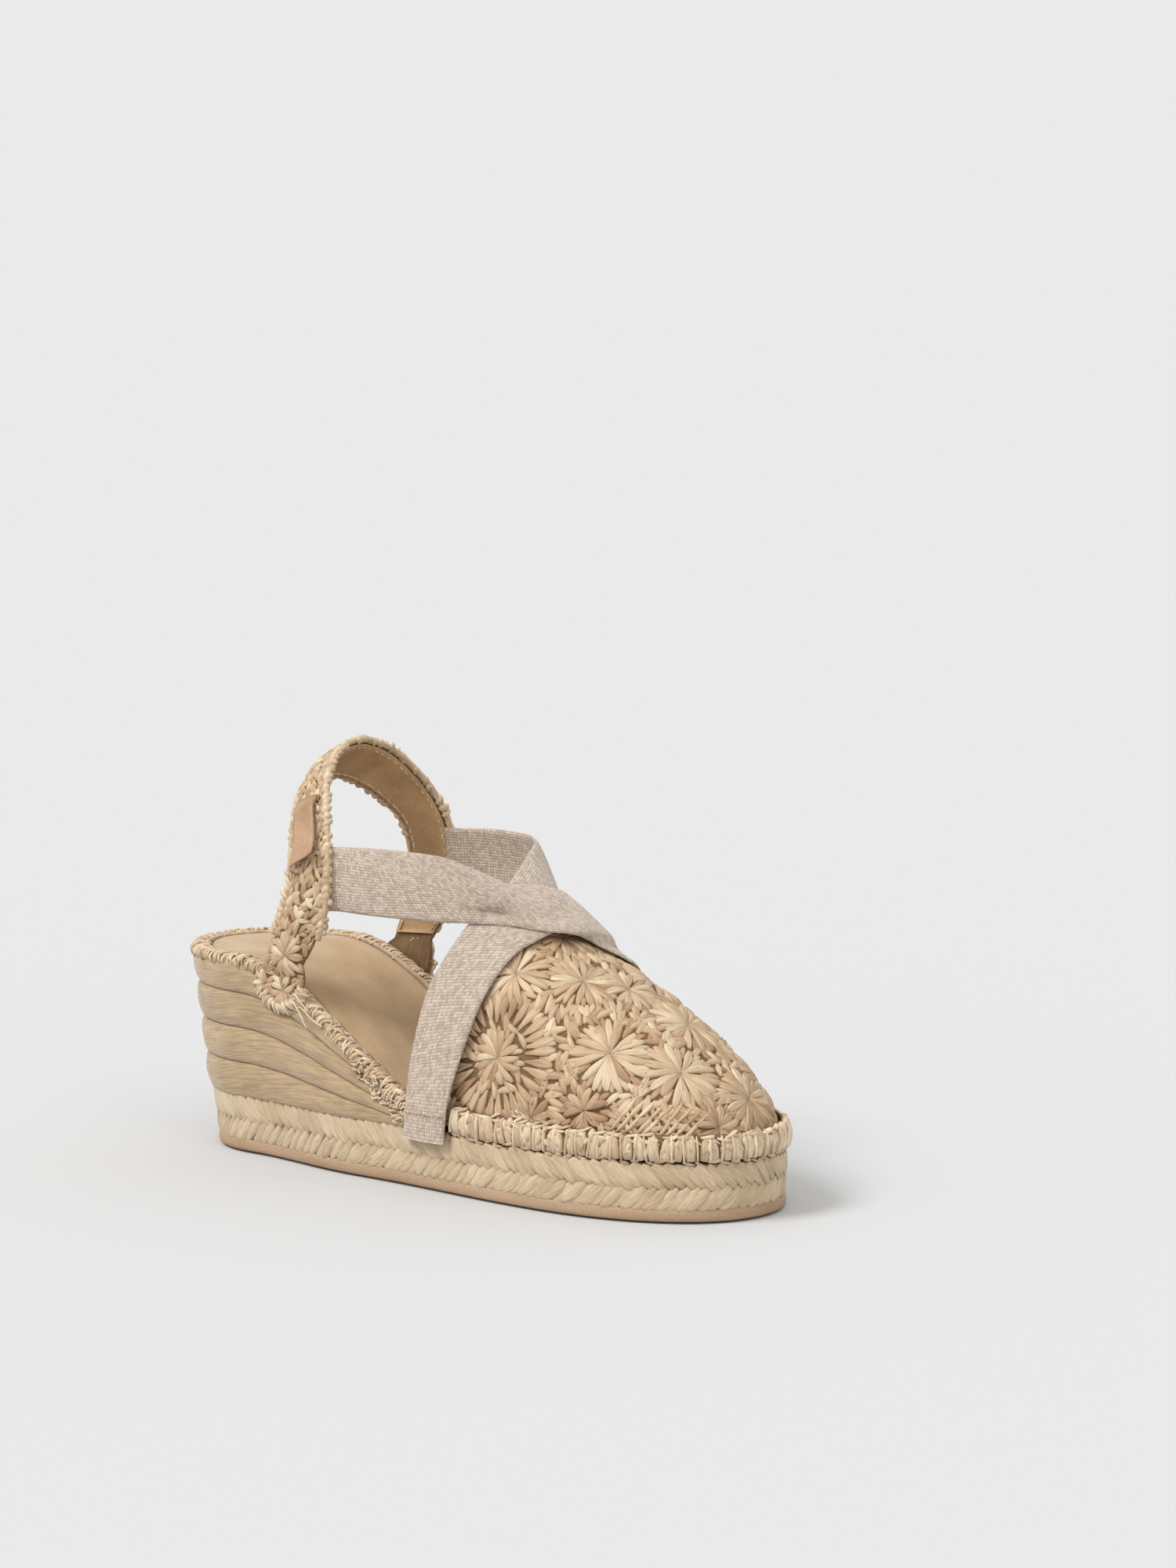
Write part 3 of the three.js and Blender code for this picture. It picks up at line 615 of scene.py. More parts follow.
class Layout:
    """Places for shapes on a surface: where each lies, which way it points, and its size, kind and tint."""

    tree: NodeTree | None = None

    def __init__(self, seed: int) -> None:
        """Starts an empty layout with its own fixed seed."""
        self.rows: list[tuple] = []
        self.random = np.random.default_rng(seed)

    def add(self, place: Points, normal: Points, along: Points, size: Sequence[float], kind: int = 0,
            tint: float = 0.5) -> None:
        """Adds one shape.

        Args:
            place: Where its origin lies, in mm.
            normal: Its own z.
            along: Its own y, as nearly as the normal lets it.
            size: Its scale across, along and up.
            kind: Which shape of the set.
            tint: Its place in the finish's range of colour.
        """
        z = unit(np.asarray(normal, float))
        y = unit(np.asarray(along, float) - z * (np.asarray(along, float) @ z))
        turn = Matrix(np.column_stack([np.cross(y, z), y, z])).to_euler()
        self.rows.append((tuple(place), tuple(turn), tuple(size), kind, tint))

    def lay(self, name: str, shapes: Sequence[Part], finish: Material, skin: Skin | None = None) -> Object:
        """Lays the shapes and makes one plain mesh of them.

        Args:
            name: The new piece's name.
            shapes: The set, in mm, each with a "lift" value: its height above what it lies on.
            finish: The piece's material.
            skin: A surface that the shapes are bent to; they stay straight without one.

        Returns:
            The piece.
        """
        Layout.tree = Layout.tree or laying_tree()
        collection = bpy.data.collections.new(name + "_shapes")
        for i, shape in enumerate(shapes):
            collection.objects.link(shape.build(f"{name}_shape_{i:02d}", placed=False))
        mesh = bpy.data.meshes.new(name + "_places")
        mesh.from_pydata([r[0] for r in self.rows], [], [])
        for key, kind, column in (("turn", "FLOAT_VECTOR", 1), ("size", "FLOAT_VECTOR", 2),
                                  ("kind", "INT", 3), ("tint", "FLOAT", 4)):
            attribute = mesh.attributes.new(key, kind, "POINT")
            data = np.array([r[column] for r in self.rows])
            attribute.data.foreach_set("vector" if kind == "FLOAT_VECTOR" else "value", data.ravel())
        rise = mesh.attributes.new("rise", "FLOAT", "POINT")
        rise.data.foreach_set("value", np.array([r[2][2] for r in self.rows], np.float32))
        places = bpy.data.objects.new(name + "_places", mesh)
        bpy.context.scene.collection.objects.link(places)
        modifier = places.modifiers.new("lay", "NODES")
        modifier.node_group = Layout.tree
        sockets = {s.name: s.identifier for s in Layout.tree.interface.items_tree if s.in_out == "INPUT"}
        modifier[sockets["Shapes"]] = collection
        modifier[sockets["Finish"]] = finish
        depsgraph = bpy.context.evaluated_depsgraph_get()
        made = bpy.data.meshes.new_from_object(
            places.evaluated_get(depsgraph), preserve_all_data_layers=True, depsgraph=depsgraph)
        bpy.data.objects.remove(places)
        for shape in list(collection.objects):
            bpy.data.objects.remove(shape)
        bpy.data.collections.remove(collection)
        self._settle(made, skin)
        made.name = name
        piece = bpy.data.objects.new(name, made)
        bpy.context.scene.collection.objects.link(piece)
        return piece

    @staticmethod
    def _settle(mesh: Mesh, skin: Skin | None) -> None:
        """Bends a laid mesh to its skin, turns it to the row frame and drops what only laying needed.

        Args:
            mesh: The laid mesh, in mm.
            skin: What it is bent to, if anything.
        """
        points = np.zeros(len(mesh.vertices) * 3, np.float32)
        mesh.vertices.foreach_get("co", points)
        points = points.reshape(-1, 3).astype(float)
        if skin is not None:
            lift, rise = (np.zeros(len(points), np.float32) for _ in range(2))
            mesh.attributes["lift"].data.foreach_get("value", lift)
            mesh.attributes["rise"].data.foreach_get("value", rise)
            place, normal = skin.nearest(points)
            points = place + normal * (lift * rise)[:, None]
        mesh.vertices.foreach_set("co", LAST.to_frame(points).astype(np.float32).ravel())
        for key in ("lift", "rise", "size", "turn", "kind"):
            if key in mesh.attributes:
                mesh.attributes.remove(mesh.attributes[key])
        mesh.polygons.foreach_set("use_smooth", [True] * len(mesh.polygons))
        mesh.update()


# ---- Shapes that repeat ----


def leaf_shape(length: float, width: float, height: float, waist: float = 0.35, widest: float = 0.6,
               crease: float = 0.4, sink: float = 0.5, sway: float = 0.0, shingle: float = 0.0,
               stations: int = 6, around: int = 10) -> Part:
    """A puffed loop of straw or jute: along y from its root, closed at both ends.

    Args:
        length: Root to tip.
        width: Across its widest place.
        height: Above what it lies on.
        waist: Width at the root, as a share.
        widest: Where it is widest, as a share of the length.
        crease: Depth of the crease down its middle, as a share of the height.
        sink: How far its underside lies below what it lies on.
        sway: Sideways bend of its middle.
        shingle: Slope across it, so that one edge tucks under its neighbour.
        stations: Sections along it.
        around: Points round each section.

    Returns:
        The part, with its "lift" value.
    """
    t = np.linspace(0.03, 0.97, stations)
    swell = mix(waist, 1.0, smoothstep(t / widest)) * np.sqrt(
        1 - np.clip((t - widest) / (1 - widest), 0, 1) ** 2 * 0.86)
    angle = np.linspace(0, 2 * math.pi, around, endpoint=False) + math.pi / 2
    x = np.cos(angle)[None] * (width / 2) * swell[:, None]
    fold = 1 - crease * np.exp(-((np.cos(angle) / 0.3) ** 2))
    top = np.maximum(np.sin(angle), 0) ** 0.75 * height * fold
    z = np.where(np.sin(angle) > 0, top, np.sin(angle) * sink)[None] * (swell[:, None] ** 0.6)
    bend = (sway * np.sin(math.pi * t))[:, None]
    y = np.broadcast_to((t * length)[:, None], x.shape)
    points = np.stack([x + bend, y, z + shingle * x], -1).reshape(-1, 3)
    ends = np.array([[0, 0, 0.1 * height], [0, length, 0.2 * height]])
    uv = np.stack([np.broadcast_to(np.cos(angle)[None] * width / 2, x.shape), y], -1).reshape(-1, 2)
    faces = [f[::-1] for f in grid_faces(stations, around, False, True).tolist()]
    a, b, last = len(points), len(points) + 1, (stations - 1) * around
    faces += [[a, k, (k + 1) % around] for k in range(around)]
    faces += [[b, last + (k + 1) % around, last + k] for k in range(around)]
    points = np.vstack([points, ends])
    uv = np.vstack([uv, [[0, 0], [0, length]]])
    return Part(points, faces, uv, {"lift": points[:, 2].copy()})


def bent_shape(path: Sequence[Sequence[float]], radius: float, flat: float = 0.6, stations: int = 8,
               around: int = 6, taper: float = 0.5) -> Part:
    """A short strand bent along a few points, thinner at its ends.

    Args:
        path: The points, in mm.
        radius: Half its width.
        flat: Thickness as a share of the width.
        stations: Sections along it.
        around: Points round each section.
        taper: Share of the radius left at the ends.

    Returns:
        The part, with its "lift" value.
    """
    share = np.linspace(0, 1, stations)
    line = catmull_rom(path, share)
    thick = radius * mix(taper, 1.0, np.sin(math.pi * np.clip(share, 0.04, 0.96)) ** 0.5)
    side = np.broadcast_to(np.array([1.0, 0.0, 0.0]), line.shape)
    part = tube(line, thick, around, flat, side)
    return Part(part.points, part.faces, part.uv, {"lift": part.points[:, 2].copy()})


def lug_shape(length: float, width: float, height: float) -> Part:
    """A rounded bar of the tread, its top downwards."""
    return leaf_shape(length, width, height, waist=0.8, widest=0.5, crease=0.0, sink=0.3, around=8)


# ---- Finishes ----


class Coordinates(Enum):
    """What a pattern is laid out on."""

    THREAD = "thread"  # the piece's own uv, in mm across and along
    PLACE = "place"  # the place on the shoe


class Surface:
    """The nodes of one material, from its coordinates to its shader."""

    def __init__(self, name: str, roughness: float, sheen: float = 0.0, specular: float = 0.4) -> None:
        """Starts a material with its shader and the constants that are the same all over it.

        Args:
            name: The material's name.
            roughness: Of the whole surface.
            sheen: Weight of the fuzz.
            specular: Level of the gloss.
        """
        self.material = bpy.data.materials.new(name)
        self.material.use_nodes = True
        self.tree = self.material.node_tree
        self.tree.nodes.clear()
        self.shader = self.add("ShaderNodeBsdfPrincipled", {}, {
            "Roughness": roughness, "Sheen Weight": sheen, "Sheen Roughness": 0.5,
            "Specular IOR Level": specular})
        self.add("ShaderNodeOutputMaterial", {}, {"Surface": self.shader})

    def add(self, kind: str, settings: dict | None = None, inputs: dict | None = None) -> Node:
        """Adds a node to this material."""
        return add_node(self.tree, kind, settings, inputs)

    def grain(self, coordinates: Coordinates, size: Sequence[float], detail: float = 2.0,
              shift: Node | None = None) -> Node:
        """A smooth random pattern of a real size.

        Args:
            coordinates: What it is laid out on.
            size: How far it takes to change, in mm, across, along and in depth.
            detail: Levels of finer pattern in it.
            shift: A number that moves it in depth, so that strands differ.

        Returns:
            The node whose first output is the pattern.
        """
        if coordinates is Coordinates.THREAD:
            source = self.add("ShaderNodeUVMap", {"uv_map": "thread"})
            scale = (1 / size[0], 1 / size[1], 0.0)
        else:
            source = self.add("ShaderNodeTexCoord").outputs["Object"]
            scale = tuple(1 / (s * MM) for s in size)
        place = self.add("ShaderNodeVectorMath", {"operation": "MULTIPLY"}, {0: source, 1: scale})
        if shift is not None:
            apart = (0.0, 0.0, 91.7)  # far enough for no two strands to look alike
            spread = self.add("ShaderNodeVectorMath", {"operation": "SCALE"}, {0: apart, "Scale": shift})
            place = self.add("ShaderNodeVectorMath", {"operation": "ADD"}, {0: place, 1: spread})
        return self.add("ShaderNodeTexNoise", {}, {
            "Vector": place, "Scale": 1.0, "Detail": detail, "Roughness": 0.6})

    def weigh(self, first: Node, share: float, second: Node,
              other: float) -> Node:
        """Adds a share of one number to a share of another."""
        part = self.add("ShaderNodeMath", {"operation": "MULTIPLY"}, {0: second, 1: other})
        return self.add("ShaderNodeMath", {"operation": "MULTIPLY_ADD"}, {0: first, 1: share, 2: part})

    def colours(self, value: Node, colours: Sequence[str], span: tuple[float, float],
                shade: Node, dark: float, light: float,
                shade_span: tuple[float, float] = (0.3, 0.7)) -> Node:
        """Colours spread evenly over a span of values, then scaled by a painted shade: darker where a relief
        value is low, a little lighter where it is high.

        Args:
            value: What picks the colour.
            colours: Hex values from the span's start to its end.
            span: The values that take the first and the last colour.
            shade: The relief value that sets the painted shade.
            dark: Factor at the low end of the shade's span.
            light: Factor at its high end.
            shade_span: The shade values that take those factors.

        Returns:
            The node whose first output is the colour.
        """
        ramp = self.add("ShaderNodeValToRGB", {}, {"Fac": value})
        elements = ramp.color_ramp.elements
        while len(elements) < len(colours):
            elements.new(0.5)
        for i, colour in enumerate(colours):
            elements[i].position = mix(*span, i / (len(colours) - 1))
            elements[i].color = linear(colour)
        factor = self.add("ShaderNodeMapRange", {}, {
            "Value": shade, "From Min": shade_span[0], "From Max": shade_span[1],
            "To Min": dark, "To Max": light})
        return self.add("ShaderNodeVectorMath", {"operation": "SCALE"}, {0: ramp, "Scale": factor})

    def finish(self, colour: Node, relief: Node, depth: float) -> Material:
        """Joins colour and relief, whose 1 stands for a depth in mm, to the shader.

        Args:
            colour: Node of the colour.
            relief: Node of the height.
            depth: What a height of 1 stands for.

        Returns:
            The finished material.
        """
        bump = self.add("ShaderNodeBump", {}, {"Strength": 1.0, "Distance": depth * MM, "Height": relief})
        self.tree.links.new(colour.outputs[0], self.shader.inputs["Base Color"])
        self.tree.links.new(bump.outputs[0], self.shader.inputs["Normal"])
        return self.material


@dataclass(frozen=True)
class Fibre:
    """A finish of long fibres that run along each strand, each strand with its own colour."""

    name: str
    colours: tuple[str, ...]
    width: float  # mm from fibre to fibre
    length: float  # mm over which a fibre keeps its look
    depth: float  # mm of relief
    roughness: float
    sheen: float = 0.0
    specular: float = 0.4
    # The factor below darkens the gaps between fibres: painted shade.
    dark: float = 0.72  # of the gaps between fibres

    def make(self) -> Material:
        """Builds the material.

        Returns:
            The material.
        """
        s = Surface(self.name, self.roughness, self.sheen, self.specular)
        average = 0.55  # what the uneven part below adds
        strand = s.add("ShaderNodeAttribute", {"attribute_name": "tint"}).outputs["Fac"]
        tone = s.add("ShaderNodeMath", {"operation": "SUBTRACT"}, {0: strand, 1: average})
        fibres = s.grain(Coordinates.THREAD, (self.width, self.length), 3.0, tone)
        uneven = s.weigh(fibres, 0.6, s.grain(Coordinates.PLACE, (8.0, 8.0, 8.0), 1.0), 0.5)
        value = s.add("ShaderNodeMath", {"operation": "ADD"}, {0: tone, 1: uneven})
        # Painted shade in the gaps between fibres and painted light on their tops.
        colour = s.colours(value, self.colours, (0.0, 1.0), fibres, self.dark, 1.08)
        return s.finish(colour, fibres, self.depth)


@dataclass(frozen=True)
class Webbing:
    """Plain-woven elastic: rows of linen-coloured yarn with pale slubs."""

    name: str = "linen_elastic_webbing"
    colours: tuple[str, ...] = ("#9a8777", "#bba998", "#d4c6b6")
    row: float = 1.25  # mm between weft rows; the real 0.9 is drawn coarser so that it shows
    end: float = 1.05  # mm between warp ends
    wander: float = 0.35  # of a thread, how far each strays

    def make(self) -> Material:
        """Builds the material.

        Returns:
            The material.
        """
        s = Surface(self.name, 0.9, 0.25, 0.25)
        thread = s.add("ShaderNodeUVMap", {"uv_map": "thread"})
        stray = s.grain(Coordinates.THREAD, (2.8, 2.8), 1.0)
        astray = s.add("ShaderNodeVectorMath", {"operation": "SCALE"}, {
            0: stray.outputs[1], "Scale": self.wander})
        count = s.add("ShaderNodeVectorMath", {"operation": "MULTIPLY_ADD"}, {
            0: thread, 1: (1 / self.end, 1 / self.row, 0.0), 2: astray})
        angle = s.add("ShaderNodeVectorMath", {"operation": "SCALE"}, {0: count, "Scale": math.pi})
        sine = s.add("ShaderNodeVectorMath", {"operation": "SINE"}, {0: angle})
        across, along = s.add("ShaderNodeSeparateXYZ", {}, {0: sine}).outputs[:2]
        crossing = s.add("ShaderNodeMath", {"operation": "MULTIPLY"}, {0: across, 1: along})
        over = s.add("ShaderNodeMapRange", {"interpolation_type": "SMOOTHSTEP"}, {
            "Value": crossing, "From Min": -0.25, "From Max": 0.25})
        warp, weft = (s.add("ShaderNodeMath", {"operation": "ABSOLUTE"}, {0: w}) for w in (across, along))
        height = s.add("ShaderNodeMix", {"data_type": "FLOAT"}, {"Factor": over, "A": weft, "B": warp})
        whole = s.add("ShaderNodeVectorMath", {"operation": "FLOOR"}, {0: count})
        yarn = s.add("ShaderNodeTexWhiteNoise", {"noise_dimensions": "3D"}, {"Vector": whole})
        slub = s.grain(Coordinates.THREAD, (1.1, 5.5), 2.0)
        value = s.weigh(yarn, 0.55, slub, 0.5)
        # Darker where a thread dips under its neighbour, a little lighter where it rides over: painted shade
        # and painted light.
        colour = s.colours(value, self.colours, (0.0, 1.0), height, 0.62, 1.05, (0.15, 0.75))
        return s.finish(colour, height, 0.16)


@dataclass(frozen=True)
class Hide:
    """Leather or suede: a fine grain over broad blotches."""

    name: str
    colours: tuple[str, ...]
    grain: float  # mm across
    depth: float  # mm of relief
    roughness: float
    sheen: float = 0.0
    crumple: float = 0.0  # share of the relief that is soft wrinkles 4 mm apart

    def make(self) -> Material:
        """Builds the material.

        Returns:
            The material.
        """
        s = Surface(self.name, self.roughness, self.sheen)
        grain = s.grain(Coordinates.PLACE, (self.grain,) * 3, 4.0)
        broad = s.grain(Coordinates.PLACE, (22.0, 14.0, 22.0), 3.0)
        soft = s.grain(Coordinates.PLACE, (4.0, 4.0, 4.0))
        # Darker in the grain's low places, a little lighter on its high ones: painted shade and painted
        # light.
        colour = s.colours(s.weigh(broad, 0.75, grain, 0.25), self.colours, (0.3, 0.7), grain, 0.9, 1.06)
        return s.finish(colour, s.weigh(grain, 1 - self.crumple, soft, self.crumple), self.depth)


@dataclass(frozen=True)
class Moulded:
    """Moulded or cut solid stuff: crepe rubber, cork, board or foam."""

    name: str
    colours: tuple[str, ...]
    grain: float  # mm across
    depth: float  # mm of relief
    roughness: float

    def make(self) -> Material:
        """Builds the material.

        Returns:
            The material.
        """
        s = Surface(self.name, self.roughness)
        grain = s.grain(Coordinates.PLACE, (self.grain,) * 3, 5.0)
        broad = s.grain(Coordinates.PLACE, (33.0, 33.0, 8.0))
        # Darker in the grain's low places, a little lighter on its high ones: painted shade and painted
        # light.
        colour = s.colours(s.weigh(broad, 0.6, grain, 0.4), self.colours, (0.3, 0.7), grain, 0.93, 1.04)
        return s.finish(colour, grain, self.depth)


class Wardrobe:
    """Every finish on the shoe, made once."""

    def __init__(self) -> None:
        """Builds the materials, each from what the real one is."""
        # Crepe rubber, cut from sheet: dull, warm tan with a faint pink, darker than the rope above it.
        self.rubber = Moulded("crepe_rubber", ("#947b5e", "#a88c6f", "#b2967b"), 0.7, 0.12, 0.62).make()
        # Spun jute, plaited and pressed: dry, matt, long beige fibres with darker gaps.
        self.jute = Fibre("plaited_jute", ("#ae9575", "#c7af8d", "#d8c2a3"),
                          0.42, 7.0, 0.3, 0.92, 0.3).make()
        # Jute rope wound on the wedge: the same fibre pulled smooth, with a greyer cast.
        self.rope = Fibre("jute_rope", ("#9b8564", "#b49a77", "#c3ab88"), 0.5, 11.0, 0.26, 0.94, 0.35).make()
        # Jute behind the plait, seen only in its gaps, darkened with painted shade.
        self.jute_painted_shade = Fibre("jute_filler_painted_shade", ("#8a7150", "#a1865f", "#b0956c"), 0.5, 6.0, 0.3, 0.95).make()
        # Split raffia palm: smooth, slightly waxy ribbons, straw yellow to pinkish brown.
        self.raffia = Fibre("split_raffia", ("#a98665", "#c1a27f", "#d0b592", "#dfcbab"),
                            0.36, 9.0, 0.22, 0.5, 0.0, 0.5, 0.74).make()
        # The bed of raffia that shows between the loops, dark with painted shade for the gaps.
        self.raffia_bed_painted_shade = Fibre("raffia_ground_painted_shade", ("#6a5136", "#806445", "#947858"),
                                0.5, 5.0, 0.3, 0.85).make()
        # Raffia and jute yarn of the hand stitching: duller than the loops, fuzzy, uneven in colour.
        self.stitch = Fibre("raffia_yarn", ("#a88d6c", "#c7ac8a", "#dac2a1", "#e9d7ba"),
                            0.3, 4.0, 0.22, 0.72, 0.2, 0.4, 0.7).make()
        # Elastic woven with linen yarn: dull, greyish pink, flecked with paler slubs.
        self.webbing = Webbing().make()
        # Kid suede glued over foam: soft nap with no gloss.
        self.suede = Hide("kid_suede", ("#9f7f55", "#b19167", "#bd9f76"), 0.5, 0.07, 0.95, 0.35, 0.2).make()
        # Thin unglazed lining leather: faint gloss, soft wrinkles where it bends.
        self.lining = Hide("lining_leather", ("#9c7b56", "#b7956d", "#c8a77f"),
                           0.6, 0.14, 0.6, 0.0, 0.6).make()
        # Vegetable-tanned tab: pale pinkish tan, smooth, slightly waxed.
        self.tab = Hide("tanned_tab_leather", ("#957555", "#a98769", "#ba9879"),
                        0.8, 0.12, 0.5, 0.0, 0.6).make()
        # Pressed cellulose board under the foam.
        self.board = Moulded("cellulose_board", ("#7d5f40", "#8b6b4a", "#957552"), 0.6, 0.1, 0.9).make()
        # Open-cell latex foam: pale, dull and finely pitted.
        self.foam = Moulded("latex_foam", ("#cdbf9f", "#d8cbaf", "#e0d5bd"), 0.35, 0.15, 0.95).make()
        # Agglomerated cork: warm brown granules 2 mm across.
        self.cork = Moulded("agglomerated_cork", ("#7f5f3c", "#a9855a", "#c3a075"), 1.8, 0.3, 0.85).make()


# ---- Sub-assemblies ----


class Body(Enum):
    """The two bodies that pieces ride on."""

    SHOE = "shoe"
    SLING = "heel_sling"


def fit(piece: Object, body: Body, slot: str, *nodes: str) -> Object:
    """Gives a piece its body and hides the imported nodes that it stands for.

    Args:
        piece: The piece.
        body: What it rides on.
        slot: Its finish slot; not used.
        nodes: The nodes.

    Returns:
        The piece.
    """
    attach(piece, body.value)
    if nodes:
        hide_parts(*nodes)
    log.info("%s rides on %s, %d points", piece.name, body.value, len(piece.data.vertices))
    return piece


def packed_tree(node: str) -> BVHTree:
    """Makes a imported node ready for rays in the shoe's frame.

    Args:
        node: The node.

    Returns:
        The tree of its faces.
    """
    mesh = frame["nodes"][node].data
    points = np.array([p.co for p in mesh.vertices]) / MM - LAST.origin()
    return BVHTree.FromPolygons([tuple(p) for p in points], [tuple(f.vertices) for f in mesh.polygons])


def flex(piece: Object, start: Sequence[float], end: Sequence[float], slot: str, *nodes: str) -> None:
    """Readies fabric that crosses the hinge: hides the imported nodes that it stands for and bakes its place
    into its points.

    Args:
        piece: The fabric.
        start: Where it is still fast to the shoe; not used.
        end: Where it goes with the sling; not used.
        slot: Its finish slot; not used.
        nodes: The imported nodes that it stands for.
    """
    if nodes:
        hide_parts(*nodes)
    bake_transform(piece)
    log.info("%s bends between %s and %s", piece.name, Body.SHOE.value, Body.SLING.value)


def ripple(place: Points, waves: Sequence[tuple[float, float, float]]) -> Points:
    """A soft uneven number from -1 to 1: the mean of slanting sines.

    Args:
        place: Rows of (along, across).
        waves: Length, slant and phase of each sine.

    Returns:
        One number for each row.
    """
    total = sum(np.sin(2 * math.pi * (place[..., 0] + slant * place[..., 1]) / length + phase)
                for length, slant, phase in waves)
    return total / len(waves)


def sole_loop(pitch: float) -> Points:
    """Stations all round the sole, as many on the outer side as on the inner one.

    Args:
        pitch: Distance in mm.

    Returns:
        The stations.
    """
    outer = LAST.even(0, 4, pitch)
    fine = LAST.even(4, 8, 0.2)
    inner = np.interp(np.linspace(0, 1, len(outer)), np.linspace(0, 1, len(fine)), fine)
    return np.concatenate([outer, inner[1:-1]])


def deck(inset: float, toe_room: float, level: Callable[[Points], Points], roll: float = 0.0,
         rows: int = 150, columns: int = 26, dish: float = 0.0) -> Points:
    """A grid across the sole from heel to toe, inside the rim.

    Args:
        inset: Distance inside the rim.
        toe_room: What it stops short of the toe.
        level: Its height at an x.
        roll: How far its edge turns down.
        rows: Points from heel to toe.
        columns: Points from the outer side to the inner one.
        dish: How far its middle lies below its sides.

    Returns:
        Rows, columns, 3.
    """
    t = 4 * (0.5 - 0.5 * np.cos(np.pi * np.linspace(0.004, 0.996, rows)))
    room = LAST.rim.toe_x - LAST.rim.heel_x
    outer, inner = LAST.inset(1.0, t, inset), LAST.inset(1.0, 8 - t, inset)
    for side in (outer, inner):
        side[:, 0] -= toe_room * np.clip((side[:, 0] - 200) / (room - 200), 0, 1)
    v = 0.5 - 0.5 * np.cos(np.pi * np.linspace(0, 1, columns))
    plan = outer[:, None] + (inner - outer)[:, None] * v[None, :, None]
    z = level(plan[..., 0])
    half = np.linalg.norm(inner - outer, axis=1)[:, None] / 2
    edge = np.minimum(v, 1 - v)[None] * 2 * half
    z = z - roll * np.clip(1 - edge / (2 * max(roll, 0.1)), 0, 1) ** 2
    z = z - dish * (1 - (2 * v[None] - 1) ** 2) ** 2 * np.clip(half / 30, 0, 1)
    return np.concatenate([plan, z[..., None]], -1)


@dataclass
class Outsole:
    """Crepe rubber sole with a rounded edge and a tread of short bars."""

    thickness: float = 5.2
    edge: float = 0.9
    pitch: float = 2.0
    lug: tuple[float, float, float] = (9.0, 2.2, 0.8)
    lug_pitch: tuple[float, float] = (5.0, 11.0)

    def build(self, wardrobe: Wardrobe) -> None:
        """Makes the sole and its tread.

        Args:
            wardrobe: The shoe's finishes.
        """
        s = sole_loop(self.pitch)
        e, lift = self.edge, self.lug[2]
        top = self.thickness
        section = [(-6.0, lift), (-e, lift), (-0.35 * e, lift + 0.2), (0, lift + e), (0.12, top / 2),
                   (0, top - 0.8), (-0.3, top - 0.2), (-0.9, top), (-7.0, top)]
        grid = np.stack([np.column_stack([LAST.inset(0.0, s, -proud), np.full(len(s), z)])
                         for proud, z in section], 1)
        faces = grid_faces(len(s), len(section), True).tolist()
        faces = [f[::-1] for f in faces]
        count, columns = len(s), len(section)
        for i in range(count // 2):
            a, b = i, i + 1
            c, d = (count - b) % count, (count - a) % count
            low = [k * columns for k in (a, b, c, d)]
            high = [k * columns + columns - 1 for k in (a, b, c, d)]
            faces.append(list(dict.fromkeys(low)))
            faces.append(list(dict.fromkeys(high))[::-1])
        points = grid.reshape(-1, 3)
        part = Part(points, faces, points[:, :2].copy(), {"tint": np.full(len(points), 0.5)})
        sole = part.build("outsole", wardrobe.rubber)
        fit(sole, Body.SHOE, "rubber", "rubber_outsole")
        tread = Layout(seed=11)
        t = np.linspace(0, 4, 400)
        outer, inner = LAST.inset(0.0, t, 6.5), LAST.inset(0.0, 8 - t, 6.5)
        for i, x in enumerate(np.arange(16, 240, self.lug_pitch[0])):
            low, high = np.interp(x, outer[:, 0], outer[:, 1]), np.interp(x, inner[:, 0], inner[:, 1])
            for j, y in enumerate(np.arange(low + 1, high - 10, self.lug_pitch[1])):
                slant = 0.5 if (i + j) % 2 else -0.5
                tread.add((x - 2, y + (i % 2) * 2, lift), -UP, (slant, 1, 0), (1, 1, 1))
        bars = tread.lay("tread_bars", [lug_shape(self.lug[0] - 2, self.lug[1], lift)], wardrobe.rubber)
        fit(bars, Body.SHOE, "rubber")


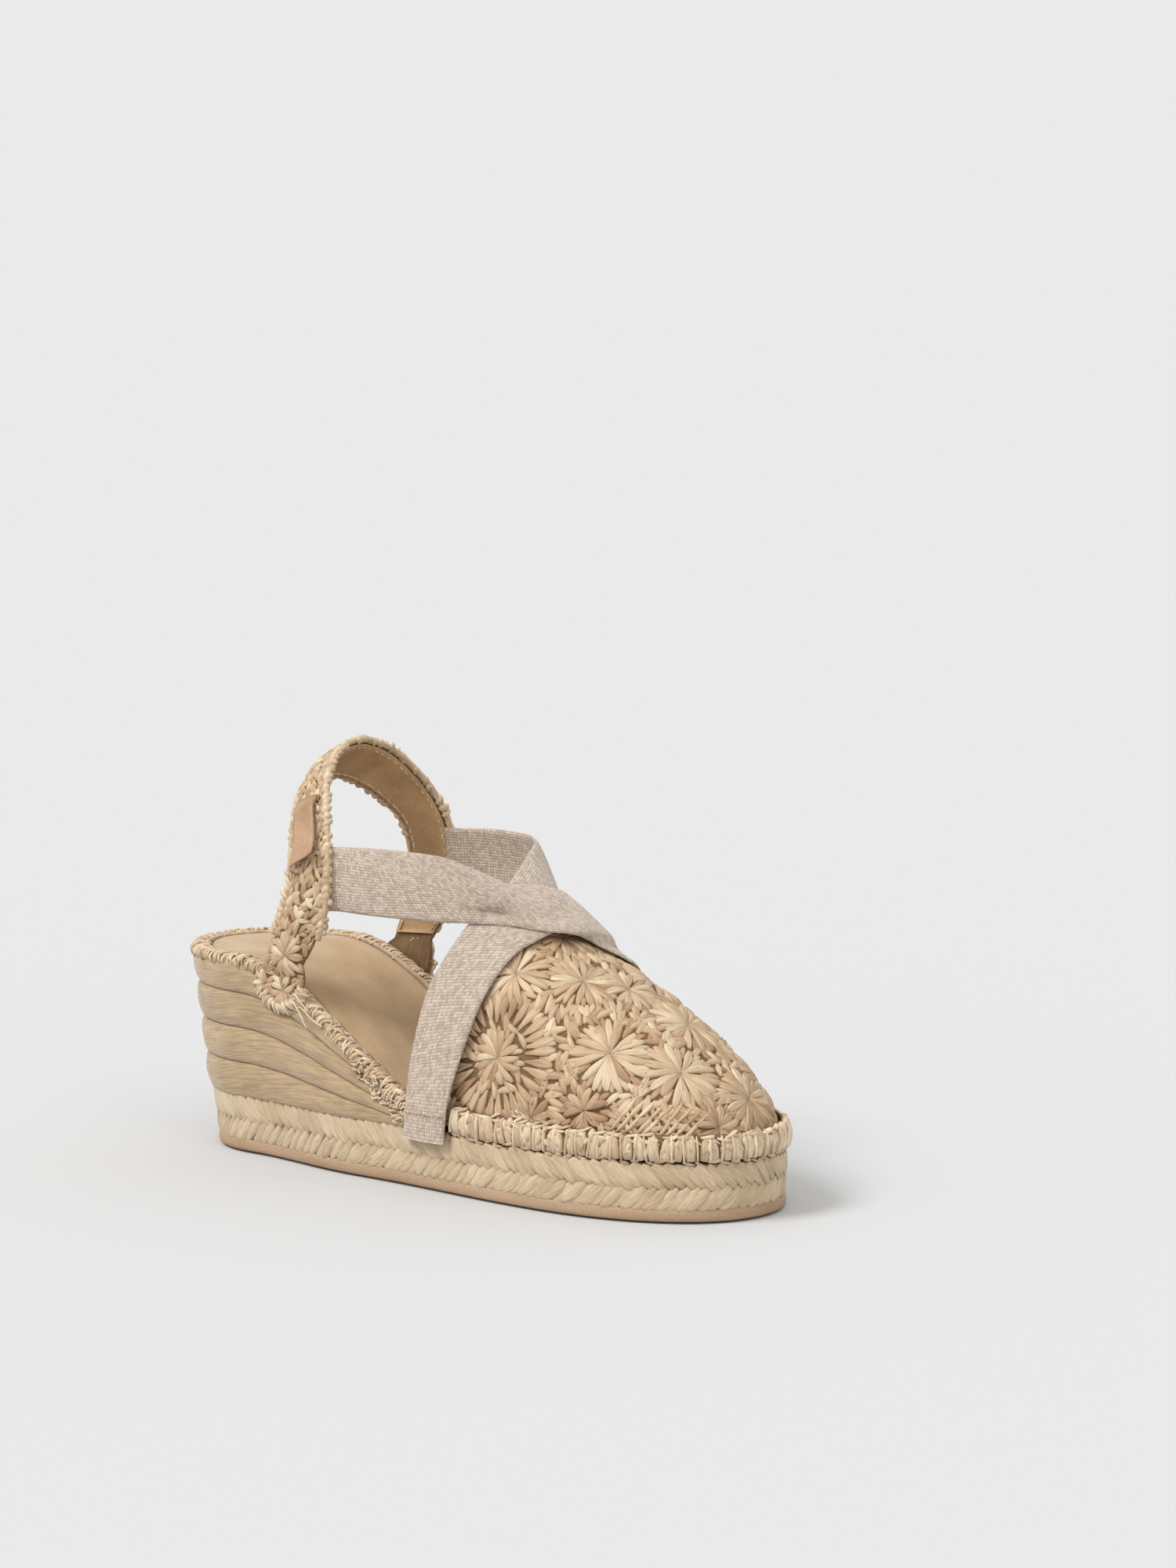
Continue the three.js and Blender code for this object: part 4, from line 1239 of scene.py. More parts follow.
@dataclass
class BaseBraid:
    """The plaited jute band round the base: two rows of slanting strands that meet in a zigzag."""

    pitch: float = 3.9
    strand: tuple[float, float, float] = (14.5, 5.6, 1.25)
    slant: float = 0.8  # rise of a strand for each mm along the sole
    bed_depth: float = 0.85
    bundle: int = 2  # strands that lie together

    def build(self, wardrobe: Wardrobe) -> None:
        """Makes the filler band and the strands.

        Args:
            wardrobe: The shoe's finishes.
        """
        low, high = LAST.base_z, LAST.base_top - GAP
        s = sole_loop(1.6)
        z = np.linspace(low, high, 9)
        outer = np.stack([LAST.wall(s, np.full(len(s), h), -self.bed_depth) for h in z], 1)
        inner = np.stack([np.column_stack([LAST.inset(0.1, s, 8.9), np.full(len(s), h)]) for h in z], 1)
        # The filler band takes the darker jute: painted shade in the plait's gaps.
        bed = slab(outer, inner, 0.4, close=True).build("base_braid_filler", wardrobe.jute_painted_shade)
        fit(bed, Body.SHOE, "jute", "jute_base_braid")
        skin = Skin(np.stack([LAST.wall(np.append(s, 8.0), np.full(len(s) + 1, h), -self.bed_depth)
                              for h in np.linspace(low - 1, high + 1.5, 9)], 1))
        strands = Layout(seed=21)
        middle = mix(low, high, 0.48)
        for row, (z_mid, lean, height) in enumerate((
                ((low + middle) / 2 - 0.3, 0.75, 0.85), ((middle + high) / 2 + 0.2, -1, 1.0))):
            stations = LAST.even(0, 8, self.pitch)[:-1] + row * 0.03
            ahead = LAST.wall(stations + 0.01, np.full(len(stations), z_mid))
            place = LAST.wall(stations, np.full(len(stations), z_mid), -self.bed_depth)
            tone = ripple(np.column_stack([np.arange(len(stations)), np.full(len(stations), 9 * row)]),
                          [(11, 1, 0.3), (23, 1, 2.0), (5.3, 1, 4.0)])
            for i, (p, q) in enumerate(zip(place, ahead)):
                along = unit(q - p) * np.array([1, 1, 0])
                normal = np.array([along[1], -along[0], 0])
                direction = along + UP * self.slant * lean * strands.random.uniform(0.85, 1.15)
                size = strands.random.uniform((0.94, 0.94, 0.8), (1.1, 1.05, 1.2))
                size[2] *= height * (1.0 if i % self.bundle else 0.86)
                root = p - unit(direction) * self.strand[0] / 2
                strands.add(root, normal, direction, size, strands.random.integers(3),
                            np.clip(0.55 + 0.2 * tone[i] + strands.random.uniform(-0.15, 0.15), 0.1, 0.95))
        shapes = [leaf_shape(*self.strand, 0.7, 0.5, crease, 0.4, sway, 0.08, stations=7)
                  for crease, sway in ((0.1, 0.5), (0.25, -0.4), (0.0, 0.0))]
        fit(strands.lay("base_braid_strands", shapes, wardrobe.jute, skin), Body.SHOE, "jute")


@dataclass
class WedgeRopes:
    """Four thick ropes wound round the wedge, fanning from the arch to the heel."""

    courses: int = 4
    end_x: float = 134.0
    depth: float = 5.2
    bulge: float = 1.35
    sink: float = 0.75
    pitch: float = 0.9

    def build(self, wardrobe: Wardrobe) -> None:
        """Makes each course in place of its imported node.

        Args:
            wardrobe: The shoe's finishes.
        """
        start, end = LAST.round_heel(self.end_x)
        s = LAST.even(start, end, self.pitch)
        x = LAST.ring(1.0, s)[:, 0]
        along = np.arange(len(s)) * self.pitch
        angles = np.radians(np.linspace(-90, 90, 15))
        rng = np.random.default_rng(31)
        for course in range(self.courses):
            low = mix(LAST.base_top, LAST.rim_z(x), course / self.courses)
            high = mix(LAST.base_top, LAST.rim_z(x), (course + 1) / self.courses) - 0.12
            half, middle = (high - low) / 2, (high + low) / 2
            waves = [(w, slant, rng.uniform(0, 6.3)) for w, slant in
                     ((9.5, 1.5), (6.1, 1.9), (23.0, 0.6), (14.0, 2.4), (4.3, 1.2))]
            columns = []
            for a in angles:
                z = middle + half * np.sin(a)
                lumps = ripple(np.stack([along, z], -1), waves) * np.minimum(0.55, half * 0.14)
                reach = np.minimum(self.bulge + self.sink, half * 0.55)
                proud = reach * np.cos(a) ** 0.75 - np.minimum(self.sink, half * 0.35) + lumps * np.cos(a)
                columns.append(LAST.wall(s, z, proud))
            outer = np.stack(columns, 1)
            back = [np.column_stack([LAST.wall(s, c[:, 2], -self.depth)[:, :2], c[:, 2]]) for c in columns]
            slant = 0.16
            across = outer[..., 2] - middle[:, None]
            thread = np.stack([across - slant * along[:, None],
                               np.broadcast_to(along[:, None], across.shape) + slant * across], -1)
            rope = slab(outer, np.stack(back, 1), 0.35 + 0.1 * (course % 2), thread)
            name = f"jute_wedge_course_{course + 1}"
            fit(rope.build(f"wedge_rope_{course + 1}", wardrobe.rope), Body.SHOE, "jute", name)


@dataclass
class Footbed:
    """Board, foam and suede, stacked on the wedge and curving down to the toe."""

    inset: float = 7.6
    toe_room: float = 4.0
    board: float = 1.5
    foam: float = 2.2
    suede: float = 1.2

    def layer(self, name: str, start: float, thickness: float, finish: Material, slot: str, node: str,
              dish: float = 0.0, inset: float = 0.0) -> Object:
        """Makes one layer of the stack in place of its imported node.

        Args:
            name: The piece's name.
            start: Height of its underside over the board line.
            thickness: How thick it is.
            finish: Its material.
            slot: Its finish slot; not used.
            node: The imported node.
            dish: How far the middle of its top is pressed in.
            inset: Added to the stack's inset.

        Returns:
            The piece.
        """
        top, bottom = (
            deck(self.inset + inset, self.toe_room, lambda x, h=h: LAST.board_z(x) + h, roll, dish=d)
            for h, roll, d in ((start + thickness, 0.5, dish), (start, 0.0, 0.0)))
        return fit(slab(top, bottom).build(name, finish), Body.SHOE, slot, node)

    def build(self, wardrobe: Wardrobe) -> None:
        """Makes the three layers, from the bottom up.

        Args:
            wardrobe: The shoe's finishes.
        """
        self.layer("insole_board_layer", 0.0, self.board, wardrobe.board, "board", "insole_board")
        pad = self.layer("foam_layer", self.board + GAP, self.foam, wardrobe.foam, "foam", "foam_cushion")
        suede_start = self.board + self.foam + 2 * GAP
        self.layer("suede_sock", suede_start, self.suede, wardrobe.suede, "suede", "suede_footbed", 0.5, -1.2)


class Straw(Enum):
    """Which shape of the straw set a loop takes."""

    PETALS = (0, 1, 2, 3)
    FILLERS = (4, 5, 6)
    STRANDS = (7,)


def straw_shapes() -> list[Part]:
    """Loops of straw at their usual sizes: four petals, three short fillers and a thin strand.

    Returns:
        The shapes, in that order.
    """
    petals = [leaf_shape(12, 3.3, 2.0, 0.25, widest, crease, 0.6, sway) for widest, crease, sway in (
        (0.62, 0.6, 0.45), (0.55, 0.45, -0.5), (0.7, 0.65, 0.0), (0.5, 0.3, 0.8))]
    fillers = [leaf_shape(7, 2.7, 1.7, 0.5, 0.5, crease, 0.6, sway)
               for crease, sway in ((0.45, 0.3), (0.2, -0.5), (0.5, 0.0))]
    return [*petals, *fillers, leaf_shape(9, 1.2, 1.1, 0.8, 0.5, 0.0, 0.5, 0.2, around=8)]


class Crochet(Layout):
    """Straw loops laid on a skin as rosettes, rows and fillers, with no bare patch left between them."""

    widest = 4.2  # no petal is wider

    def __init__(self, seed: int, skin: Skin) -> None:
        """Starts with nothing on the skin.

        Args:
            seed: Seed of its random numbers.
            skin: The sheet that the loops are laid on.
        """
        super().__init__(seed)
        self.skin = skin
        self.covered: list[Points] = []
        self.centres: list[Points] = []

    def walk(self, start: Points, direction: Points, length: float,
             step: float = 1.5) -> tuple[Points, Points]:
        """Follows the skin from a point as straight as it lets one, and stops at its edge.

        Args:
            start: A point of the skin.
            direction: Which way to go.
            length: How far.
            step: Length of one step.

        Returns:
            The points passed, the first included, and the direction at each.
        """
        place, normal = self.skin.frame(start)
        path, ways = [place], [unit(direction - normal * (direction @ normal))]
        while len(path) <= length / step:
            ahead, normal = self.skin.frame(path[-1] + ways[-1] * step)
            if np.linalg.norm(ahead - path[-1]) < 0.6 * step:
                break
            path.append(ahead)
            ways.append(unit(ways[-1] - normal * (ways[-1] @ normal)))
        return np.array(path), np.array(ways)

    def loop(self, root: Points, direction: Points, length: float, width: float, kinds: Straw, tint: float,
             height: float = 1.0, least: float = 3.0) -> None:
        """Lays one loop from its root, shortened where the skin ends.

        Args:
            root: Where it starts.
            direction: Which way it points.
            length: Root to tip.
            width: Across.
            kinds: The shapes to choose from.
            tint: Place in the straw's range of colour.
            height: Share of the usual height.
            least: Shortest loop that is worth laying.
        """
        path, ways = self.walk(root, direction, length)
        reach = float(np.linalg.norm(path[-1] - path[0]))
        if reach < least:
            return
        usual = {Straw.PETALS: (3.3, 12), Straw.FILLERS: (2.7, 7), Straw.STRANDS: (1.2, 9)}[kinds]
        length = min(length, reach + 0.8)
        _, normal = self.skin.frame(path[0])
        chord = unit(path[-1] - path[0])
        size = (width / usual[0], length / usual[1], height)
        tint = float(np.clip(tint + self.random.normal(0, 0.24), 0.02, 0.98))
        self.add(path[0], normal, chord, size, kinds.value[self.random.integers(len(kinds.value))], tint)
        for share in np.arange(0.15, 1.0, 2.0 / max(length, 2.0)):
            self.covered.append(np.append(mix(path[0], path[-1], share), width * 0.5))

    def rosette(self, centre: Points, radius: float, petals: int, tint: float = 0.6, hub: float = 1.2,
                start: float = 0.0) -> None:
        """Lays a ring of petals round a centre, from a hub radius to an outer one.

        Args:
            centre: The centre.
            radius: Outer radius.
            petals: How many.
            tint: Place in the straw's range of colour.
            hub: Radius left free.
            start: Angle of the first petal.
        """
        place, normal = self.skin.frame(centre)
        self.centres.append(place)
        first = unit(np.cross(normal, np.array([0.31, 0.2, 0.93])))
        second = np.cross(normal, first)
        for i in range(petals):
            angle = start + 2 * math.pi * (i + self.random.uniform(-0.18, 0.18)) / petals
            way = math.cos(angle) * first + math.sin(angle) * second
            path, ways = self.walk(place, way, hub)
            if hub > 2 and np.linalg.norm(path[-1] - place) < hub * 0.6:
                continue
            length = (radius - hub) * self.random.uniform(0.86, 1.06)
            share = 2 * math.pi * mix(hub, radius, 0.66) / petals * 0.82
            width = min(self.widest, share) * self.random.uniform(0.85, 1.1)
            self.loop(path[-1], ways[-1], length, width, Straw.PETALS, tint, self.random.uniform(0.85, 1.15))
            # A short, low filler between each two petals, its tint 0.28 darker: painted shade between the
            # petals.
            between = angle + math.pi / petals
            way = math.cos(between) * first + math.sin(between) * second
            path, ways = self.walk(place, way, mix(hub, radius, 0.5))
            short = length * self.random.uniform(0.42, 0.6)
            self.loop(path[-1], ways[-1], short, width * 0.72, Straw.FILLERS, tint - 0.28,
                      self.random.uniform(0.55, 0.8))

    def fill(self, length: float = 7.5, width: float = 2.7, room: float = 0.55, tint: float = 0.42) -> None:
        """Lays short loops wherever the skin still shows, pointing away from the nearest rosette.

        Args:
            length: Usual length of a loop.
            width: Usual width.
            room: Bare distance from other loops that is left alone.
            tint: Place in the straw's range of colour.
        """
        spots = self.skin.grid.reshape(-1, 3)
        for i in self.random.permutation(len(spots)):
            spot = spots[i]
            near = np.array(self.covered)
            if (np.linalg.norm(near[:, :3] - spot, axis=1) < near[:, 3] + room).any():
                continue
            away = spot - min(self.centres, key=lambda c: np.linalg.norm(c - spot))
            spin = self.random.normal(0, 0.65)
            _, normal = self.skin.frame(spot)
            way = unit(away) * math.cos(spin) + np.cross(normal, unit(away)) * math.sin(spin)
            size = self.random.uniform(0.8, 1.15)
            self.loop(spot - way * length * 0.4 * size, way, length * size, width * size, Straw.FILLERS, tint,
                      self.random.uniform(0.75, 1.0), 1.5)
            self.covered.append(np.append(spot, width * 0.5))


@dataclass
class Vamp:
    """Closed toe of crocheted raffia rosettes over a bed of straw, lined, with a netted corner."""

    height: float = 71.0
    back_x: float = 150.0
    foot_x: float = 131.5
    top_x: float = 153.5
    inset: float = 2.7
    wall: float = 1.9
    lining: float = 0.8
    lining_back: float = 0.6
    bed: float = 1.15  # how far the bed lies below the outer face
    # Centres of the rosettes: x, y, z, radius, petals and tint.
    rosettes: tuple[tuple[float, ...], ...] = (
        (160, -36, 51, 12.5, 14, 0.5), (180, -12, 77, 14.5, 17, 0.55), (190, 1, 74, 14, 16, 0.55),
        (203, -26, 56, 16.5, 17, 0.7), (209, 10, 62, 16, 17, 0.65), (224, -13, 50, 16, 17, 0.7),
        (238, 8, 40, 15, 16, 0.55), (199, -36, 37, 11, 12, 0.2), (159, -24, 79, 15, 16, 0.5),
        (160, 2, 90, 14, 15, 0.45), (163, 37, 54, 12.5, 14, 0.5), (183, 20, 69, 15, 16, 0.6),
        (205, 33, 47, 16, 17, 0.65), (186, 41, 37, 12, 12, 0.25), (226, 25, 40, 15, 16, 0.6),
        (177, -37, 32, 11, 11, 0.35), (239, -12, 32, 11, 12, 0.3), (246, 0, 24, 9, 10, 0.4))
    rings: tuple[int, ...] = (0, 10)  # rosettes with a second ring
    ring: tuple[float, int] = (25.5, 31)
    net: tuple[float, float, float] = (224, -26, 35)

    def sheet(self, inset: float, drop: float, shift: float = 0.0, rows: int = 84,
              columns: int = 76) -> Points:
        """A skin of the toe.

        Args:
            inset: How far inside the rim its foot lies.
            drop: How far its crown lies below the outer one.
            shift: How far its back edge is moved towards the toe.
            rows: Points from the back edge to the toe.
            columns: Points from side to side.

        Returns:
            A grid of points.
        """
        toe = LAST.inset(1.0, np.array([4.0]), inset)[0]
        u = np.linspace(0, 0.998, rows)[:, None]
        angle = np.pi * np.linspace(0, 1, columns)[None]
        lift = np.sin(angle).clip(0) ** 0.83
        edge = mix(self.foot_x, self.top_x, lift) + shift
        x = mix(edge, toe[0], np.sin(u * math.pi / 2) ** 0.9)
        sides = [LAST.side_y(x.ravel(), outer, inset).reshape(x.shape) for outer in (True, False)]
        spread = np.sign(np.cos(angle)) * np.abs(np.cos(angle)) ** 0.78
        t = np.clip((x - self.back_x) / (toe[0] - self.back_x), 0, 1)
        ridge = (self.height + 0.3 * np.maximum(0, self.back_x - x)) * (1 - t) ** 0.6
        z = LAST.rim_z(x) + GAP + np.maximum(0, ridge - drop * lift) * lift
        return np.stack([x, (sides[0] + sides[1]) / 2 + spread * (sides[0] - sides[1]) / 2, z], -1)

    def build(self, wardrobe: Wardrobe) -> None:
        """Makes the bed, the lining and the loops.

        Args:
            wardrobe: The shoe's finishes.
        """
        outer = self.sheet(self.inset, 0)
        outward = grid_normals(outer)
        bed = slab(outer - outward * self.bed, outer - outward * self.wall, 0.4)
        # The bed's dark raffia is painted shade between the loops.
        fit(bed.build("vamp_straw_bed", wardrobe.raffia_bed_painted_shade), Body.SHOE, "raffia", "vamp_raffia")
        start = self.inset + self.wall + GAP
        under = [self.sheet(start + d, self.wall + GAP + d, self.lining_back) for d in (0.0, self.lining)]
        lining = slab(*under).build("vamp_inner_lining", wardrobe.lining)
        fit(lining, Body.SHOE, "lining_leather", "vamp_lining")
        skin = Skin((outer - outward * (self.bed + 0.1))[:-1])
        straw = Crochet(41, skin)
        self.weave_net(straw)
        for i, (x, y, z, radius, petals, tint) in enumerate(self.rosettes):
            centre = np.array([x, y, z])
            straw.rosette(centre, radius, petals, tint, start=0.4 * i)
            if i in self.rings:
                straw.rosette(centre, self.ring[0], self.ring[1], tint - 0.05, radius + 0.6)
        straw.fill(room=0.15)
        fit(straw.lay("vamp_raffia_loops", straw_shapes(), wardrobe.raffia, skin), Body.SHOE, "raffia")

    def weave_net(self, straw: Crochet) -> None:
        """Crosses thin strands in an open lattice low on the outer side of the toe.

        Args:
            straw: The layout that takes them.
        """
        place, normal = straw.skin.frame(self.net)
        along = unit(np.array([1.0, 0.25, 0.0]) - normal * (np.array([1.0, 0.25, 0.0]) @ normal))
        rise = np.cross(normal, along)
        for row in range(-4, 5):
            for lean in (-1, 1):
                way = unit(along * straw.random.uniform(0.5, 0.8) + rise * lean)
                root = place + along * (row * 3.3 + straw.random.uniform(-0.5, 0.5)) - way * 7
                for part in range(2):
                    straw.loop(root + way * 7.0 * part, way, 9, straw.random.uniform(1.3, 2.0),
                               Straw.STRANDS, 0.6, 1.1 + 0.35 * lean)


@dataclass
class VampBand:
    """Rolled band that binds the toe to the sole: puffs of straw tied down by thin upright threads."""

    height: float = 9.0
    start_x: float = 141.5
    pitch: float = 4.4
    bed: float = 1.0
    thickness: float = 2.1
    foot_inset: float = 0.3
    bulge: float = 0.53
    bulge_at: float = 0.45

    def face(self, stations: Points, share: float, depth: float = 0.0) -> Points:
        """Points of the band's rolled outer face, or of a layer below it, at a share of its height."""
        below = np.clip((self.bulge_at - share) / self.bulge_at, 0, None)
        above = np.clip((share - self.bulge_at) / (1 - self.bulge_at), 0, None)
        inset = self.foot_inset - self.bulge * (1 - below ** 2 - 2 * above ** 2) + depth
        low = LAST.rim_z(LAST.ring(1.0, stations)[:, 0]) + GAP
        return np.column_stack([LAST.inset(1.0, stations, inset), low + share * self.height])

    def build(self, wardrobe: Wardrobe) -> None:
        """Makes the band's bed and what is stitched on it.

        Args:
            wardrobe: The shoe's finishes.
        """
        start, end = LAST.crossing(self.start_x, True), LAST.crossing(self.start_x, False)
        s = LAST.even(start, end, 1.5)
        heights = np.linspace(0.02, 0.97, 9)
        bed = slab(np.stack([self.face(s, h, self.bed) for h in heights], 1),
                   np.stack([self.face(s, h, self.thickness) for h in heights], 1), 0.4)
        # The bed's dark raffia is painted shade between the loops.
        fit(bed.build("vamp_band_bed", wardrobe.raffia_bed_painted_shade), Body.SHOE, "raffia", "vamp_blanket_stitch_band")
        skin = Skin(np.stack([self.face(s, h, self.bed) for h in np.linspace(-0.14, 1.1, 13)], 1))
        stitches = Layout(seed=51)
        rng = stitches.random
        for station in LAST.even(start, end, self.pitch)[:-1]:
            ring = np.array([station])
            foot = self.face(ring, 0.0, self.bed)[0]
            here, ahead = LAST.step(station)
            tangent = unit(np.append(ahead - here, 0.0))
            outward = np.array([tangent[1], -tangent[0], 0.0])
            stitches.add(foot + tangent * (self.pitch / 2 + rng.uniform(-0.4, 0.4)) - UP * 0.3, outward,
                         UP + tangent * rng.normal(0, 0.1), rng.uniform((0.8, 0.92, 0.8), (1.1, 1.06, 1.15)),
                         int(rng.integers(3)), rng.uniform(0.3, 0.8))
            for _ in range(3):
                spot = foot + UP * rng.uniform(0.3, 6.2) + tangent * rng.uniform(0.2, self.pitch - 0.2)
                stitches.add(spot, outward, UP + tangent * rng.normal(0, 0.5),
                             rng.uniform((0.7, 0.6, 1.2), (1.1, 1.1, 1.7)), 3, rng.uniform(0.2, 0.95))
            stitches.add(foot - UP * 0.5 + tangent * rng.uniform(-0.3, 0.3), outward,
                         UP + tangent * rng.normal(0, 0.09),
                         rng.uniform((0.8, 0.98, 0.9), (1.3, 1.06, 1.1)), 4, rng.uniform(0.55, 1.0))
            stitches.add(foot - UP * rng.uniform(0.1, 0.9) - tangent * rng.uniform(0, 2), outward,
                         tangent + UP * rng.normal(0, 0.3), rng.uniform((0.8, 0.7, 0.9), (1.2, 1.3, 1.3)), 3,
                         rng.uniform(0.15, 0.6))
            for _ in range(2):
                spot = foot + UP * (self.height - rng.uniform(0.2, 1.6)) + tangent * rng.uniform(0, 3)
                stitches.add(spot, outward, tangent + UP * rng.normal(0, 0.35),
                             rng.uniform((0.45, 0.8, 1.0), (0.9, 1.5, 1.5)), 3, rng.uniform(0.4, 0.95))
        shapes = [leaf_shape(9.2, 4.3, 1.5, 0.7, 0.5, crease, 0.5, sway) for crease, sway in (
            (0.1, 0.2), (0.4, -0.25), (0.25, 0.0))]
        shapes += [leaf_shape(4.0, 1.8, 1.2, 0.6, 0.55, 0.2, 0.4, 0.2, around=8),
                   leaf_shape(9.6, 0.95, 1.9, 0.85, 0.5, 0.0, 0.3, 0.15, stations=7, around=8)]
        fit(stitches.lay("vamp_band_stitches", shapes, wardrobe.stitch, skin), Body.SHOE, "jute_thread")


@dataclass
class RimStitching:
    """Loose whip stitches of raffia yarn over the rim, from foot to foot of the toe round the heel."""

    end_x: float = 133.0
    pitch: float = 2.4
    strewn: float = 9.5  # how far down the wall loops lie at the foot of the slope
    strewn_from: float = 72.0
    strewn_full: float = 114.0

    def strew(self, whips: Layout, start: float, end: float, kinds: Sequence[int]) -> None:
        """Strews small loops and strands of yarn down the wall, wider where the ropes run out.

        Args:
            whips: The layout that takes them.
            start: First station of the rim.
            end: Last station of the rim.
            kinds: Which shapes to choose from.
        """
        rng = whips.random
        for station in LAST.even(start, end, 1.15)[1:-1]:
            here, ahead = LAST.step(station)
            share = (here[0] - self.strewn_from) / (self.strewn_full - self.strewn_from)
            zone = self.strewn * float(smoothstep(share))
            for _ in range(round(zone / 3.2)):
                low = rng.uniform(1.2, max(1.3, zone))
                height = max(LAST.base_top + 1.0, float(LAST.rim_z(here[0])) - low)
                spot = LAST.wall(np.array([station]), np.array([height]), rng.uniform(0.3, 0.8))[0]
                outward = unit(np.array([ahead[1] - here[1], here[0] - ahead[0], 0.0]))
                along = UP * rng.normal(0.4, 0.8) + np.append(ahead - here, 0.0) / 0.01 * rng.normal(0, 0.1)
                whips.add(spot, outward, along, rng.uniform((0.7, 0.7, 0.8), (1.2, 1.3, 1.2)),
                          int(kinds[rng.integers(len(kinds))]), rng.uniform(0.25, 0.9))

    def build(self, wardrobe: Wardrobe) -> None:
        """Makes the yarn bed, then the stitches over it.

        Args:
            wardrobe: The shoe's finishes.
        """
        start, end = LAST.round_heel(self.end_x)
        s = LAST.even(start, end, 1.2)
        x = LAST.ring(1.0, s)[:, 0]
        rng = np.random.default_rng(61)
        yarns = []
        for depth, rise, radius in ((0.6, -0.9, 0.9), (2.0, 0.1, 1.0), (4.2, 0.0, 0.9)):
            wobble = ripple(np.stack([np.arange(len(s)) * 1.2, np.zeros(len(s))], -1),
                            [(7.1, 0, rng.uniform(0, 6)), (12.3, 0, rng.uniform(0, 6))]) * 0.3
            line = np.column_stack([LAST.inset(1.0, s, depth + wobble), LAST.rim_z(x) + rise + wobble * 0.4])
            yarns.append(tube(line, radius, 8, 0.8, tint=0.35))
        bed = Part.join(yarns).build("rim_yarn", wardrobe.stitch)
        fit(bed, Body.SHOE, "jute_thread", "rim_whip_stitching")
        whips = Layout(seed=62)
        for station in LAST.even(start, end, self.pitch)[1:-1]:
            here, ahead = LAST.step(station)
            z, z_ahead = LAST.rim_z(here[0]), LAST.rim_z(ahead[0])
            tangent = unit(np.array([ahead[0] - here[0], ahead[1] - here[1], z_ahead - z]))
            inward = unit(np.array([-(ahead[1] - here[1]), ahead[0] - here[0], 0.0]))
            up = np.cross(tangent, inward)
            loose = smoothstep((here[0] - 70) / 45) * (here[1] < 0)
            for _ in range(3):
                slip = whips.random.uniform(-1.4, 1.4)
                lean = whips.random.normal(0.55, 0.35)
                size = whips.random.uniform((0.7, 0.8, 0.75), (1.2, 1.15, 1.1))
                size[2] *= mix(0.9, 1.3, loose)
                place = np.array([*here, z]) + tangent * slip - up * whips.random.uniform(0.0, 0.5)
                whips.add(place, up, inward + tangent * lean, size, int(whips.random.integers(4)),
                          whips.random.uniform(0.15, 0.95))
        shapes = [bent_shape([(-a, -0.8, -3.6), (-a * 1.4, -1.15, -1.5), (-a * 0.6, -0.25, 0.65),
                              (a, 2.1, 1.3), (a, 4.3, 0.85), (a * 0.5, 5.3, -0.3)], radius, 0.6)
                  for a, radius in ((0.5, 0.8), (-0.6, 0.65), (1.1, 0.7))]
        # A slanting stitch, then a loop and a strand that are only strewn.
        shapes += [bent_shape(path, radius, flat) for path, radius, flat in (
            ([(1.5, -0.7, -2.6), (0.9, -1.2, -0.9), (-0.4, -0.2, 0.9), (-1.6, 1.5, 1.5), (-2.2, 3.0, 0.7)],
             0.6, 0.7),
            ([(-1.3, -1.6, -0.5), (-1.2, 0.0, 0.5), (0.0, 1.2, 0.8), (1.3, 0.2, 0.5), (1.2, -1.4, -0.5)],
             0.42, 0.75),
            ([(-0.3, -2.3, -0.5), (0.2, -0.9, 0.5), (-0.2, 0.8, 0.55), (0.3, 2.3, -0.5)], 0.5, 0.75))]
        self.strew(whips, start, end, (len(shapes) - 2, len(shapes) - 1))
        fit(whips.lay("rim_whip_stitches", shapes, wardrobe.stitch), Body.SHOE, "jute_thread")


